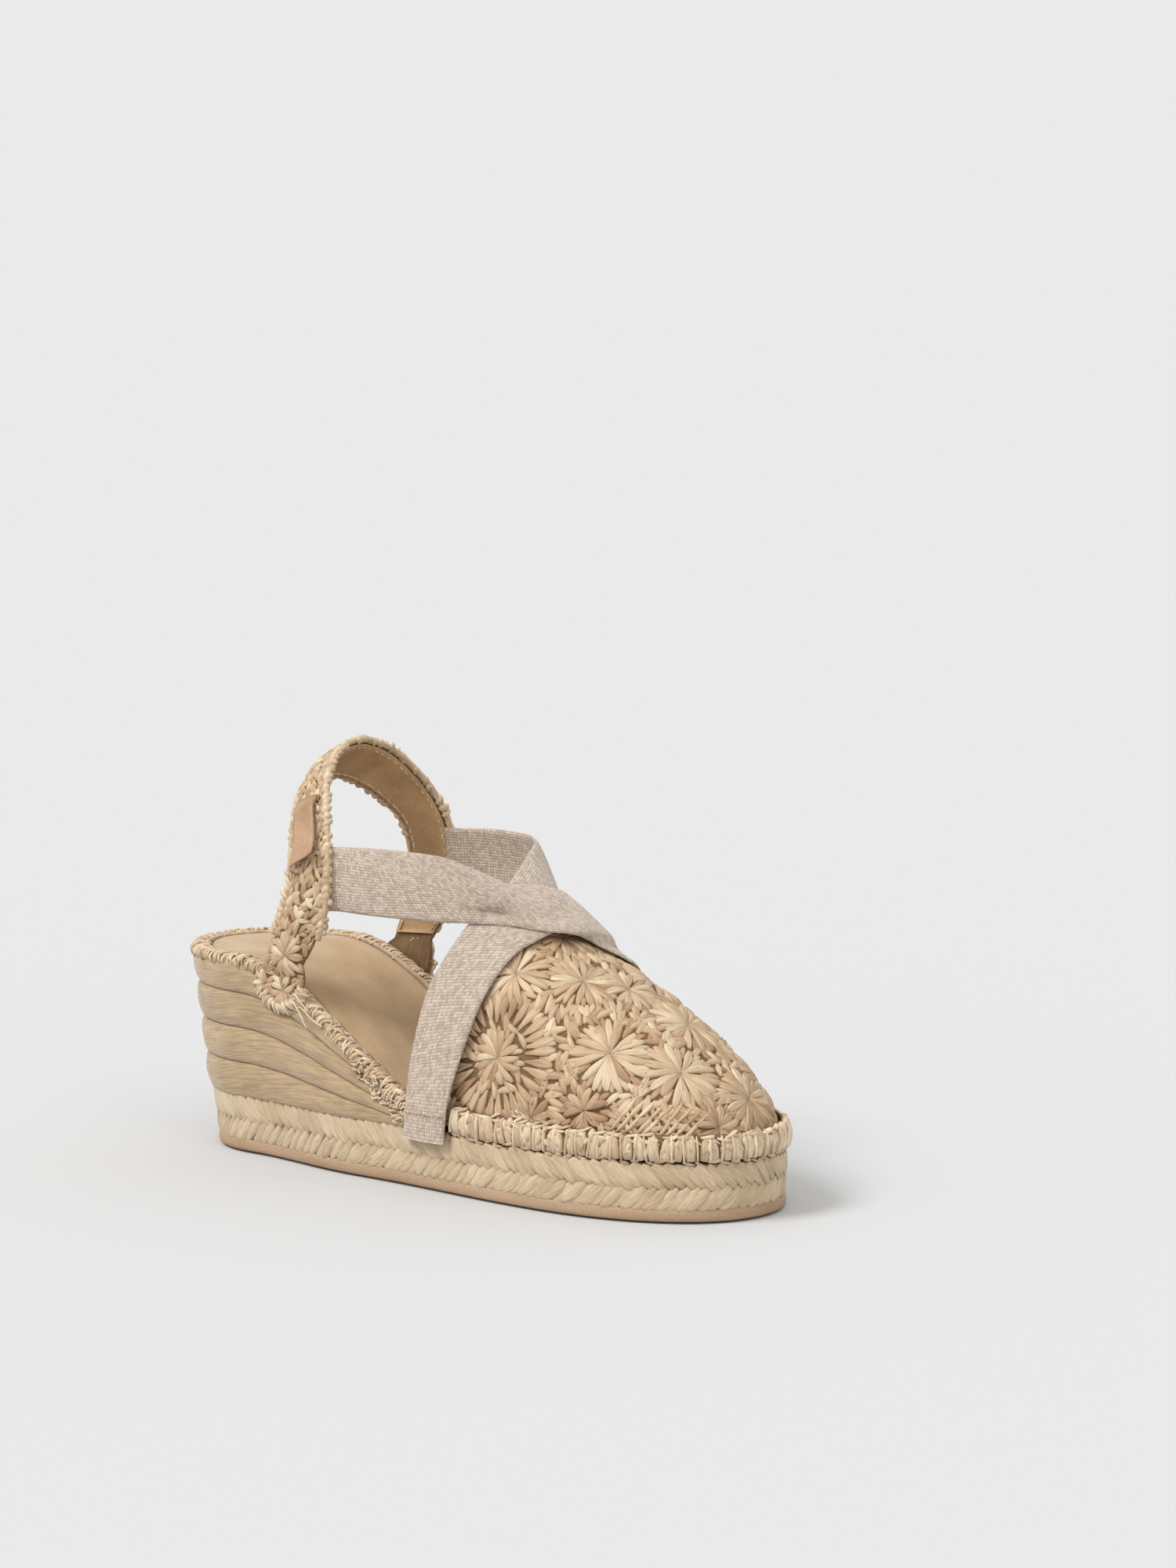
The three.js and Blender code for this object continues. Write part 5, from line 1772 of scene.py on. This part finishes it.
@dataclass
class Elastic:
    """One woven elastic strap, from the wall of the sole over the instep to the inside of the sling."""

    name: str
    node: str
    outer_foot: bool
    back: tuple[tuple[float, float, float], ...]
    front: tuple[tuple[float, float, float], ...]
    thickness: float = 1.3
    selvedge: float = 0.5
    crown: float = 4.8  # how far its middle may stand over a flat ribbon
    cast: float = 9.0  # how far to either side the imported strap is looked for
    rows: int = 220
    columns: int = 25
    softenings: int = 14
    tuck_x: float = 78.3
    follows_from: float = 136.0  # x values handed to flex, which does not read them
    follows_to: float = 82.0
    straw_rise: float = 0.7  # how far the loops stand over the toe's outer face
    lap: float = 0.1  # room over the other strap
    press_reach: float = 5.0
    pressed_from: float = 0.25  # share across where the pressing starts
    seam: tuple[float, int] = (0.055, 10)  # share along, and number of stitches

    def face(self) -> tuple[Points, Points]:
        """The strap's outer face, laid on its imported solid, and its outward normals.

        Returns:
            Two grids, back to front or front to back.
        """
        u = np.linspace(0, 1, self.rows)
        back, front = catmull_rom(self.back, u), catmull_rom(self.front, u)
        first, last = (front, back) if self.outer_foot else (back, front)
        v = np.linspace(0, 1, self.columns)[None, :, None]
        grid = first[:, None] + (last - first)[:, None] * v
        normals = grid_normals(grid)
        grid = grid + normals * (self.crown * v * (1 - v))
        tree = packed_tree(self.node)
        offset = np.full(grid.shape[:2], np.nan)
        for r in range(self.rows):
            for c in range(1, self.columns - 1):
                place, way = grid[r, c] + normals[r, c] * self.cast, -normals[r, c]
                hit = tree.ray_cast(Vector(place), Vector(way), 2 * self.cast)
                if hit[0] is not None:
                    offset[r, c] = self.cast - hit[3]
        for _ in range(self.softenings):
            padded = np.pad(offset, 2, mode="edge")
            stack = [padded[2 + i:2 + i + self.rows, 2 + j:2 + j + self.columns]
                     for i in (-2, -1, 0, 1, 2) for j in (-1, 0, 1)]
            offset = np.nanmean(stack, axis=0)
        grid = grid + normals * offset[..., None]
        if not self.outer_foot:
            grid = self.press(grid)
        grid = grid[grid[:, self.columns // 2, 0] > self.tuck_x]
        grid[..., 1] += np.sign(grid[..., 1]) * 2.3 * smoothstep((self.tuck_x + 7 - grid[..., 0]) / 7)
        return grid, grid_normals(grid)

    def press(self, grid: Points) -> Points:
        """Presses the strap's front part on the toe, or on the other strap, where it stands clear of them.

        Args:
            grid: The strap's outer face, its columns from back to front.

        Returns:
            The outer face, with no slit left under its front edge.
        """
        normals = grid_normals(grid)
        toe = Vamp().sheet(Vamp.inset, 0)
        toe_tree = BVHTree.FromPolygons([tuple(p) for p in toe.reshape(-1, 3)],
                                        grid_faces(*toe.shape[:2]).tolist())
        grounds = ((self.straw_rise, toe_tree), (self.lap, packed_tree("elastic_under")))
        drop = np.zeros(grid.shape[:2])
        for r, c in np.ndindex(drop.shape):
            rooms = []
            for rise, ground in grounds:
                hit = ground.ray_cast(Vector(grid[r, c]), Vector(-normals[r, c]), self.press_reach)
                if hit[0] is not None:
                    rooms.append(hit[3] - rise - self.thickness)
            drop[r, c] = max(0.0, min(rooms)) if rooms else 0.0
        front = np.linspace(0, 1, self.columns)
        drop *= smoothstep((front - self.pressed_from) / (1 - self.pressed_from))[None]
        for _ in range(3):
            padded = np.pad(drop, ((3, 3), (0, 0)), mode="edge")
            drop = np.mean([padded[i:i + self.rows] for i in range(7)], axis=0)
        return grid - normals * drop[..., None]

    def build(self, wardrobe: Wardrobe) -> None:
        """Makes the strap and its foot seam, and hands the strap to flex.

        Args:
            wardrobe: The shoe's finishes.
        """
        grid, normals = self.face()
        v = np.linspace(0, 1, self.columns)
        edge = np.clip(1 - np.minimum(v, 1 - v) * 2 / 0.1, 0, 1)[None, :, None] ** 2
        top = grid - normals * edge * self.selvedge
        bottom = grid - normals * (self.thickness - edge * self.selvedge)
        strap = slab(top, bottom).build(self.name, wardrobe.webbing)
        flex(strap, (self.follows_from, 0, 100), (self.follows_to, 0, 100), "elastic", self.node)
        seam = Layout(seed=71)
        row = round(self.rows * self.seam[0])
        for c in np.linspace(1.5, self.columns - 2.5, self.seam[1]):
            k = int(c)
            place, ahead = grid[row, k] + normals[row, k] * 0.1, grid[row, k + 1]
            seam.add(place, normals[row, k], ahead - place, (1, 1, 1), 0, seam.random.uniform(0.2, 0.6))
        stitch = bent_shape([(0, -0.9, -0.2), (0, -0.4, 0.35), (0, 0.4, 0.35), (0, 0.9, -0.2)], 0.32, 0.8)
        fit(seam.lay(self.name + "_seam", [stitch], wardrobe.stitch), Body.SHOE, "jute_thread",
            self.node + "_foot_seam")


@dataclass
class Elastics:
    """The two crossed straps."""

    foot: tuple[float, float] = (120.0, 140.5)
    foot_z: float = 18.5
    proud: float = 2.7
    ankle_z: float = 70.05
    cuff: float = 30.0

    def foot_point(self, x: float, outer: bool, z: float) -> tuple[float, float, float]:
        """Where a foot lies on the wall."""
        y = float(LAST.side_y(np.array([x]), outer)[0])
        return (x, y + (-1 if outer else 1) * self.proud, z)

    def build(self, wardrobe: Wardrobe) -> None:
        """Makes the strap that lies against the toe, then the one on top of it.

        Args:
            wardrobe: The shoe's finishes.
        """
        back_x, front_x = self.foot
        h, w, low = self.ankle_z, self.cuff, self.foot_z
        Elastic("elastic_strap_under", "elastic_under", True, back=(
            self.foot_point(back_x, True, low), self.foot_point(back_x + 1.5, True, 32),
            (122.5, -38.8, 46), (127, -35, 70), (133.5, -31, 84.5), (138.5, -24, 95.5), (141.5, -10, 105),
            (138.5, 2, 110.5),
            (134.5, 13, 115), (129, 24, 118.7), (111, 32, h + 48.8), (94, 33, h + 48.3), (83, 31.3, h + 47.5),
            (73, w, h + 47)), front=(
            self.foot_point(front_x, True, low), self.foot_point(front_x + 2, True, 33),
            (147, -39, 52), (152.5, -32.5, 72.5), (157, -21.5, 85.5), (161, -9, 91), (160, 1, 92.5),
            (155.5, 10.5, 93.7),
            (147.5, 19, 94.5), (136, 27.5, 94.9), (117, 33, h + 24.6), (96, 33.6, h + 24.4),
            (83, 31.6, h + 24.1), (73, w, h + 24))).build(wardrobe)
        Elastic("elastic_strap_over", "elastic_over", False, back=(
            self.foot_point(back_x, False, low), self.foot_point(back_x + 2, False, 32),
            (124, 37.5, 46), (128, 34.5, 70), (134.5, 31, 84.5), (142.5, 25, 95.5), (148.5, 15.5, 102.5),
            (147, 4, 106),
            (142, -8, 107.3), (138, -16, 111.8), (131, -26, 117), (111, -32.3, h + 48.8), (94, -33, h + 48.3),
            (83, -31.3, h + 47.5), (73, -w, h + 47)), front=(
            self.foot_point(front_x, False, low), self.foot_point(front_x + 4, False, 33),
            (151, 40, 50), (162, 36, 63), (172, 30, 71), (176.5, 23, 78.5), (173.5, 15.5, 83.8),
            (169.5, 7, 88.8),
            (166, -2, 91.3), (160, -11, 93), (150, -19, 94.6), (128, -31, h + 24.6), (101, -33.8, h + 24.4),
            (83, -31.6, h + 24.1), (73, -w, h + 24))).build(wardrobe)


@dataclass
class HeelSling:
    """Crocheted band that swings behind the heel: raffia loops on a bed, a leather lining and a blank tab."""

    hinge_x: float = 59.5
    hinge_rise: float = 3.5
    width: float = 24.0
    thickness: float = 1.4
    lining: float = 0.7
    lining_start: float = 0.022
    crown: float = 1.6
    proud: float = 2.3  # outer face of the round ends outside the rim
    edging: float = 3.1  # room for the picots along each edge
    edging_start: float = 0.05
    rows: int = 150
    columns: int = 17
    bend: tuple[float, float] = (-4.0, 24.0)  # heights from the hinge that are handed to flex, which does not read them
    flower: tuple[float, float, float] = (63.0, -38.5, 77.0)
    leaf_pitch: float = 4.4
    leaf_lines: tuple[float, ...] = (0.17, 0.5, 0.83)  # shares across
    tab_share: float = 0.235
    tab_size: tuple[float, float, float] = (24.0, 11.5, 1.0)
    # Front and back edge above the hinge: x, half y, z from it; the last is the top.
    edges: tuple[tuple[tuple[float, float, float], tuple[float, float, float]], ...] = (
        ((20.3, 36.6, 15.5), (-6, 35.6, 15.3)), ((23.2, 35.7, 29.5), (-1.2, 34.6, 27.5)),
        ((23.3, 35.2, 41.5), (-0.2, 33.2, 38.5)), ((21.6, 33.6, 51.5), (-2, 29.6, 49.4)),
        ((17.6, 29.7, 62.3), (-5.6, 24.6, 55.4)), ((13.1, 24, 71.2), (-9, 18.6, 60.6)),
        ((9.6, 16.6, 78.2), (-12, 12, 64)), ((7.7, 8.4, 82), (-14.2, 6, 66)),
        ((7.3, 0, 83.3), (-15, 0, 66.5)))

    @property
    def hinge_z(self) -> float:
        """The hinge's height."""
        return float(LAST.rim_z(np.array(self.hinge_x))) + self.hinge_rise

    def hang(self, piece: Object, slot: str, *nodes: str) -> None:
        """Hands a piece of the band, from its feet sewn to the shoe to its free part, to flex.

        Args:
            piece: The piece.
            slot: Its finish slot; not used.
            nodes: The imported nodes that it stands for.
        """
        start, end = ((self.hinge_x, 0.0, self.hinge_z + rise) for rise in self.bend)
        flex(piece, start, end, slot, *nodes)

    def face_y(self, x: Points, outer: bool) -> Points:
        """The outer face of the band against the wall."""
        return LAST.side_y(x, outer) + (-1 if outer else 1) * self.proud

    def edge(self, u: Points, back: bool) -> Points:
        """Points of one edge, from the outer side over the heel to the inner side.

        Args:
            u: Shares of the way, 0 to 1.
            back: The back edge, not the front one.

        Returns:
            The points.
        """
        x = self.hinge_x + (-1 if back else 1) * self.width / 2
        roots = [(x, float(self.face_y(x, outer)), self.hinge_z) for outer in (True, False)]
        outer, inner = ([(self.hinge_x + e[back][0], sign * e[back][1], self.hinge_z + e[back][2])
                         for e in self.edges] for sign in (-1, 1))
        return catmull_rom([roots[0], *outer, *inner[::-1][1:], roots[1]], u)

    def row(self, u: Points, columns: int = 0) -> Points:
        """Rows of the band above its hinge, front to back, inside the edgings and crowned outwards.

        Args:
            u: Shares of the way, 0 to 1.
            columns: Points across; the band's own number if 0.

        Returns:
            A grid of points.
        """
        front, back = self.edge(u, False), self.edge(u, True)
        risen = smoothstep((back[:, 2] - self.hinge_z) / 4.0)[:, None]
        across = unit(back - front)
        along = unit(np.gradient(front, axis=0)) + unit(np.gradient(back, axis=0))
        outward = unit(np.cross(along, across))
        front, back = front + across * self.edging * risen, back - across * self.edging * risen
        v = np.linspace(0, 1, columns or self.columns)[None, :, None]
        crown = (self.crown * risen)[:, None] * 4 * v * (1 - v)
        return front[:, None] + (back - front)[:, None] * v + outward[:, None] * crown

    def band(self) -> Points:
        """The band's whole outer face, its round ends included.

        Returns:
            A grid of points.
        """
        v = np.linspace(0.5, -0.5, self.columns)
        ends = []
        for outer in (True, False):
            angle = mix(0.12, 1.0, np.linspace(0, 1, 9)[:-1])[:, None] * math.pi / 2
            x = self.hinge_x + self.width * np.sin(angle) * v[None]
            z = np.broadcast_to(self.hinge_z - self.width / 2 * np.cos(angle), x.shape)
            y = self.face_y(x.ravel(), outer).reshape(x.shape)
            ends.append(np.stack([x, y, z], -1))
        return np.concatenate([ends[0], self.row(np.linspace(0, 1, self.rows)), ends[1][::-1]])

    def build(self, wardrobe: Wardrobe) -> None:
        """Makes the band, its edges, the tab and the stitches that hold it.

        Args:
            wardrobe: The shoe's finishes.
        """
        grid = self.band()
        normals = grid_normals(grid)
        bed = slab(grid - normals * 0.7, grid - normals * self.thickness, 0.4)
        # The bed's dark raffia is painted shade between the loops.
        self.hang(bed.build("sling_straw_bed", wardrobe.raffia_bed_painted_shade), "raffia", "sling_raffia")
        self.crochet(wardrobe, Skin(grid - normals * 0.75))
        self.line(wardrobe)
        self.edge_picots(wardrobe)
        self.tab(wardrobe)
        for outer in (True, False):
            self.anchor(wardrobe, outer)

    def crochet(self, wardrobe: Wardrobe, skin: Skin) -> None:
        """Lays a flower on each round end and pairs of leaves up the band.

        Args:
            wardrobe: The shoe's finishes.
            skin: The band's bed.
        """
        straw = Crochet(81, skin)
        for side in (1, -1):
            x, y, z = self.flower
            straw.rosette(np.array([x, side * y, z]), 10.5, 13, 0.7)
            straw.rosette(np.array([x - 2.5, side * y, z - 13.0]), 8.0, 10, 0.45)
        first = len([1 for z in skin.grid[:, 0, 2] if z < self.flower[2] + 10]) // 2
        last = len(skin.grid) - 1 - first
        length = travelled(skin.grid[first:last, self.columns // 2])
        for i, at in enumerate(np.arange(1.0, length[-1] - 4, self.leaf_pitch)):
            r = first + int(np.searchsorted(length, at))
            for j, v in enumerate(self.leaf_lines):
                c = round(v * (self.columns - 1))
                root = skin.grid[r, c] + (skin.grid[r + 1, c] - skin.grid[r, c]) * (0.5 * (j % 2))
                along = unit(skin.grid[min(r + 2, len(skin.grid) - 1), c] - skin.grid[r - 2, c])
                across = unit(skin.grid[r, -1] - skin.grid[r, 0])
                for lean in (-1, 1):
                    spin = lean * straw.random.uniform(0.15, 1.2) + straw.random.normal(0, 0.25)
                    way = along * math.cos(spin) + across * math.sin(spin)
                    tint = 0.55 + 0.25 * math.sin(i * 0.9 + j)
                    straw.loop(root, way, straw.random.uniform(4.4, 7.4), straw.random.uniform(1.8, 3.0),
                               Straw.FILLERS, tint, straw.random.uniform(0.8, 1.1), 2.0)
        straw.fill(5.0, 2.2, 0.1, 0.35)
        self.hang(straw.lay("sling_raffia_loops", straw_shapes(), wardrobe.raffia, skin), "raffia")

    def line(self, wardrobe: Wardrobe) -> None:
        """Makes the lining, wrinkled across where the band bends, and the stitches along its edges.

        Args:
            wardrobe: The shoe's finishes.
        """
        u = np.linspace(self.lining_start, 1 - self.lining_start, self.rows)
        grid = self.row(u)
        normals = grid_normals(grid)
        outer = grid - normals * (self.thickness + GAP)
        length = travelled(grid[:, self.columns // 2])
        v = np.linspace(-1, 1, self.columns)
        place = np.stack(np.broadcast_arrays(length[:, None], v[None] * self.width / 2), -1)
        folds = ripple(place, [(9.0, 0.3, 0.4), (14.0, -0.35, 2.0), (23.0, 0.2, 4.0)])
        bend = np.sin(math.pi * np.linspace(0, 1, self.rows))[:, None] ** 0.7
        depth = self.lining + 0.45 * np.maximum(folds, -0.3) * bend * (1 - v ** 6)[None]
        inner = outer - normals * depth[..., None]
        lining = slab(outer, inner).build("sling_inner_lining", wardrobe.lining)
        self.hang(lining, "lining_leather", "sling_lining")
        seam = Layout(seed=82)
        stitch = bent_shape([(0, -1.1, -0.2), (0, -0.5, 0.3), (0, 0.5, 0.3), (0, 1.1, -0.2)], 0.3, 0.8)
        for c in (1, self.columns - 2):
            for at in np.arange(2.0, length[-1] - 2, 3.1):
                r = int(np.searchsorted(length, at))
                seam.add(inner[r, c], -normals[r, c], inner[r + 1, c] - inner[r, c], (1, 1, 1), 0,
                         seam.random.uniform(0.5, 0.9))
        self.hang(seam.lay("sling_lining_seams", [stitch], wardrobe.stitch), "jute_thread")

    def edge_picots(self, wardrobe: Wardrobe) -> None:
        """Crochets a cord and a row of small knots along both edges.

        Args:
            wardrobe: The shoe's finishes.
        """
        u = np.linspace(self.edging_start, 1 - self.edging_start, 260)
        rows = self.row(u, 5)
        knots = Layout(seed=83)
        for name, node, edge, far in (("sling_edge_cord_front", "sling_edging_front", 0, 4),
                                      ("sling_edge_cord_back", "sling_edging_back", 4, 0)):
            outward = unit(rows[:, edge] - rows[:, far])
            along = unit(np.gradient(rows[:, edge], axis=0))
            face = np.cross(along, outward) * (-1 if edge else 1)
            bulge = rows[:, 2] - (rows[:, 0] + rows[:, 4]) / 2
            face = np.where((face * bulge).sum(1)[:, None] < 0, -face, face)
            centre = rows[:, edge] + outward * 1.1 - face * 0.6
            self.hang(tube(centre, 1.15, 8, tint=0.4).build(name, wardrobe.stitch), "raffia", node)
            length = travelled(centre)
            at = 1.5
            while at < length[-1] - 1.5:
                r = int(np.searchsorted(length, at))
                kind = int(knots.random.integers(3))
                size = knots.random.uniform((0.8, 0.8, 0.8), (1.15, 1.2, 1.15))
                lean = along[r] * knots.random.uniform(0.4, 1.9)
                knots.add(centre[r] - outward[r] * 1.7 + face[r] * 0.3, face[r], outward[r] + lean,
                          size, kind, knots.random.uniform(0.25, 0.95))
                # Knots on the band's inner face take darker tints: painted shade.
                if knots.random.random() < 0.75:
                    knots.add(centre[r] - outward[r] * 1.3 - face[r] * 0.5, -face[r],
                              outward[r] - lean * 0.6, size, kind, knots.random.uniform(0.2, 0.6))
                at += knots.random.uniform(2.2, 3.1)
        shapes = [leaf_shape(length, width, 1.3, 0.6, widest, crease, 0.9, sway, stations=5, around=8)
                  for length, width, widest, crease, sway in (
                      (3.7, 2.6, 0.6, 0.2, 0.2), (3.4, 2.9, 0.7, 0.0, -0.3), (3.9, 2.3, 0.6, 0.3, 0.0))]
        self.hang(knots.lay("sling_picots", shapes, wardrobe.stitch), "raffia")

    def tab(self, wardrobe: Wardrobe) -> None:
        """Lays a blank leather tab on the outer side, its lower end cut askew and curled off the band.

        Args:
            wardrobe: The shoe's finishes.
        """
        length, width, thickness = self.tab_size
        u = np.linspace(0, 1, 400)
        band = self.row(u, 3)
        run = travelled(band[:, 1])
        centre = np.interp(self.tab_share, u, run)
        across, along = np.linspace(-1, 1, 11), np.linspace(0, 1, 30)
        start = centre - length / 2 - 2.6 * across
        at = start[None] + (centre + length / 2 - start)[None] * along[:, None]
        grid = np.zeros((*at.shape, 3))
        curl = np.zeros(at.shape)
        for c, side in enumerate(across):
            share = np.interp(at[:, c], run, u)
            front, mid, back = (np.stack([np.interp(share, u, band[:, k, i]) for i in range(3)], -1)
                                for k in range(3))
            reach = side * width / 2 - 1.4
            grid[:, c] = mid + (back - front) / np.linalg.norm(back - front, axis=1)[:, None] * reach
            low = np.clip(1 - (at[:, c] - start[c]) / 8.0, 0, 1)
            curl[:, c] = 1.8 * low ** 2 * mix(1.0, 0.6, (side + 1) / 2) + 0.35 * math.sin(3 * side) * low
        normals = grid_normals(grid)
        wave = 0.35 * np.sin(along * 8)[:, None] * (1 - across ** 2)[None]
        wave = wave - 1.9 * smoothstep(along * 4 - 3)[:, None]  # the upper end goes under the straw
        lifted = grid + normals * (1.3 + curl + wave)[..., None]
        piece = slab(lifted + normals * thickness, lifted)
        fit(piece.build("blank_leather_tab", wardrobe.tab), Body.SLING, "tab_leather", "leather_tab")

    def anchor(self, wardrobe: Wardrobe, outer: bool) -> None:
        """Whips a round end of the band to the wall, and leaves a few loose ends of yarn.

        Args:
            wardrobe: The shoe's finishes.
            outer: Which side.
        """
        side = -1 if outer else 1
        name, seed = ("outer", 84) if outer else ("inner", 85)
        stitches = Layout(seed=seed)
        for angle in np.linspace(-0.88, -0.12, 19) * math.pi:
            for _ in range(2):
                turn = angle + stitches.random.uniform(-0.06, 0.06)
                radial = np.array([math.cos(turn), 0, math.sin(turn)])
                x, _, z = np.array([self.hinge_x, 0, self.hinge_z]) + radial * 11.2
                y = float(self.face_y(x, outer)) - side * 0.5
                size = stitches.random.uniform((0.8, 0.85, 0.8), (1.3, 1.2, 1.2))
                spin = stitches.random.uniform(-0.5, 0.7)
                tangent = np.array([-radial[2], 0, radial[0]])
                stitches.add(np.array([x, y, z]), np.array([0, side, 0]), radial + tangent * spin, size,
                             int(stitches.random.integers(2)), stitches.random.uniform(0.2, 0.95))
        shapes = [bent_shape([(-0.3, -1.8, -0.2), (0, 0, 1.1), (0.2, 1.8, 0.7), (0, 3.6, -0.8)], 0.75, 0.6),
                  bent_shape([(0.3, -1.2, 0), (0.1, 0.5, 1.3), (-0.3, 2.4, 0.5), (0, 3.9, -0.6)], 0.6, 0.7)]
        piece = stitches.lay(f"sling_anchor_whips_{name}", shapes, wardrobe.stitch)
        fit(piece, Body.SHOE, "jute_thread", f"sling_anchor_stitching_{name}")
        if outer:
            x = self.hinge_x + 7
            root = np.array([x, float(self.face_y(x, True)) - 0.4, self.hinge_z - 9.5])
            ends = [((0, 0, 0), (3, -1.5, -1.2), (6.5, -2.0, -5.2), (8, -1.6, -8.5)),
                    ((-1.5, 0.2, -0.5), (1.5, -1.2, 3.2), (4.8, -1.8, 1.4), (8.8, -1.4, -2.5)),
                    ((1.5, 0.4, -2), (5, -1.0, -1.5), (10, -1.0, -5.0), (14.5, -0.2, -7.4))]
            share = np.linspace(0, 1, 14)
            threads = Part.join([tube(catmull_rom(root + np.array(e), share), 0.28, 6, tint=0.95)
                                 for e in ends])
            fit(threads.build("sling_loose_ends", wardrobe.stitch), Body.SHOE, "jute_thread")


@dataclass
class Studio:
    """Wide pale floor, soft light from all round and the camera."""

    azimuth: float = 39.0
    elevation: float = 7.5
    lens: float = 120.0
    aim: tuple[float, float, float] = (120.0, 0.0, 60.0)
    distance: float = 1868.0
    aside: tuple[float, float] = (40.5, 79.2)  # how far the view's centre lies right of and above the aim
    reach: float = 5.0
    air: str = "#eaeaea"
    paper: float = 0.56  # share of the light that the floor gives back
    # Name, direction it comes from, width in radians and share of each soft light.
    lights: tuple[tuple[str, tuple[float, float, float], float, float], ...] = (
        ("key", (-0.45, -1.0, 1.25), 0.4, 0.76), ("fill", (0.95, -0.6, 0.9), 0.9, 0.17),
        ("back", (-0.6, 0.9, 1.2), 1.0, 0.07))

    def build(self) -> None:
        """Makes the floor, the lamps, the world and the camera."""
        self.camera()
        self.floor()
        self.lamps()

    def camera(self) -> None:
        """Places the camera that looks at the shoe from the front of its outer side."""
        a, e = math.radians(self.azimuth), math.radians(self.elevation)
        back = Vector((math.sin(a) * math.cos(e), -math.cos(a) * math.cos(e), math.sin(e)))
        right = Vector((math.cos(a), math.sin(a), 0))
        up = back.cross(right)
        place = Vector(self.aim) + back * self.distance + right * self.aside[0] + up * self.aside[1]
        data = bpy.data.cameras.new("camera")
        data.lens, data.sensor_width, data.sensor_fit = self.lens, 36.0, "AUTO"
        data.clip_start, data.clip_end = 0.05, 50.0
        made = bpy.data.objects.new("camera", data)
        made.matrix_world = Matrix.Translation(Vector(LAST.to_frame(np.array(place)))) @ Matrix(
            (right, up, back)).transposed().to_4x4()
        bpy.context.scene.collection.objects.link(made)
        bpy.context.scene.camera = made

    def floor(self) -> None:
        """Lays a wide pale floor."""
        half = self.reach
        mesh = bpy.data.meshes.new("floor")
        mesh.from_pydata([(-half, -half, 0), (half, -half, 0), (half, half, 0), (-half, half, 0)], [],
                         [(0, 1, 2, 3)])
        made = bpy.data.objects.new("floor", mesh)
        bpy.context.scene.collection.objects.link(made)
        paper = Surface("matt_paper", 1.0, specular=0.0)
        paper.shader.inputs["Base Color"].default_value = (self.paper,) * 3 + (1.0,)
        mesh.materials.append(paper.material)

    def lamps(self) -> None:
        """Hangs wide soft lights that leave the floor exactly as bright as the air behind it."""
        air = linear(self.air)
        spare = math.pi * air[0] * (1 / self.paper - 1)
        for name, place, width, share in self.lights:
            lamp = bpy.data.lights.new(name, "SUN")
            toward = Vector(place).normalized()
            lamp.angle, lamp.energy = width, spare * share / toward.z
            made = bpy.data.objects.new(name, lamp)
            made.location = toward * 2
            made.rotation_mode = "QUATERNION"
            made.rotation_quaternion = (-toward).to_track_quat("-Z", "Y")
            bpy.context.scene.collection.objects.link(made)
        world = bpy.data.worlds.new("sky")
        world.use_nodes = True
        world.node_tree.nodes["Background"].inputs["Color"].default_value = air
        bpy.context.scene.world = world
        bpy.context.scene.view_settings.view_transform = "Standard"


def dress_cores(wardrobe: Wardrobe) -> None:
    """Gives the hidden cores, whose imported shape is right, their finishes.

    Args:
        wardrobe: The shoe's finishes.
    """
    for name, finish in (("wedge_core", wardrobe.cork), ("jute_base_core", wardrobe.jute_painted_shade)):
        mesh = frame["nodes"][name].data
        mesh.materials.clear()
        mesh.materials.append(finish)


def main() -> None:
    """Builds the shoe's sub-assemblies in order, then the studio."""
    logging.basicConfig(level=logging.INFO, format="%(name)s: %(message)s")
    wardrobe = Wardrobe()
    dress_cores(wardrobe)
    for assembly in (Outsole, BaseBraid, WedgeRopes, Footbed, Vamp, VampBand, RimStitching, Elastics,
                     HeelSling):
        assembly().build(wardrobe)
    Studio().build()


if __name__ == "__main__":
    main()
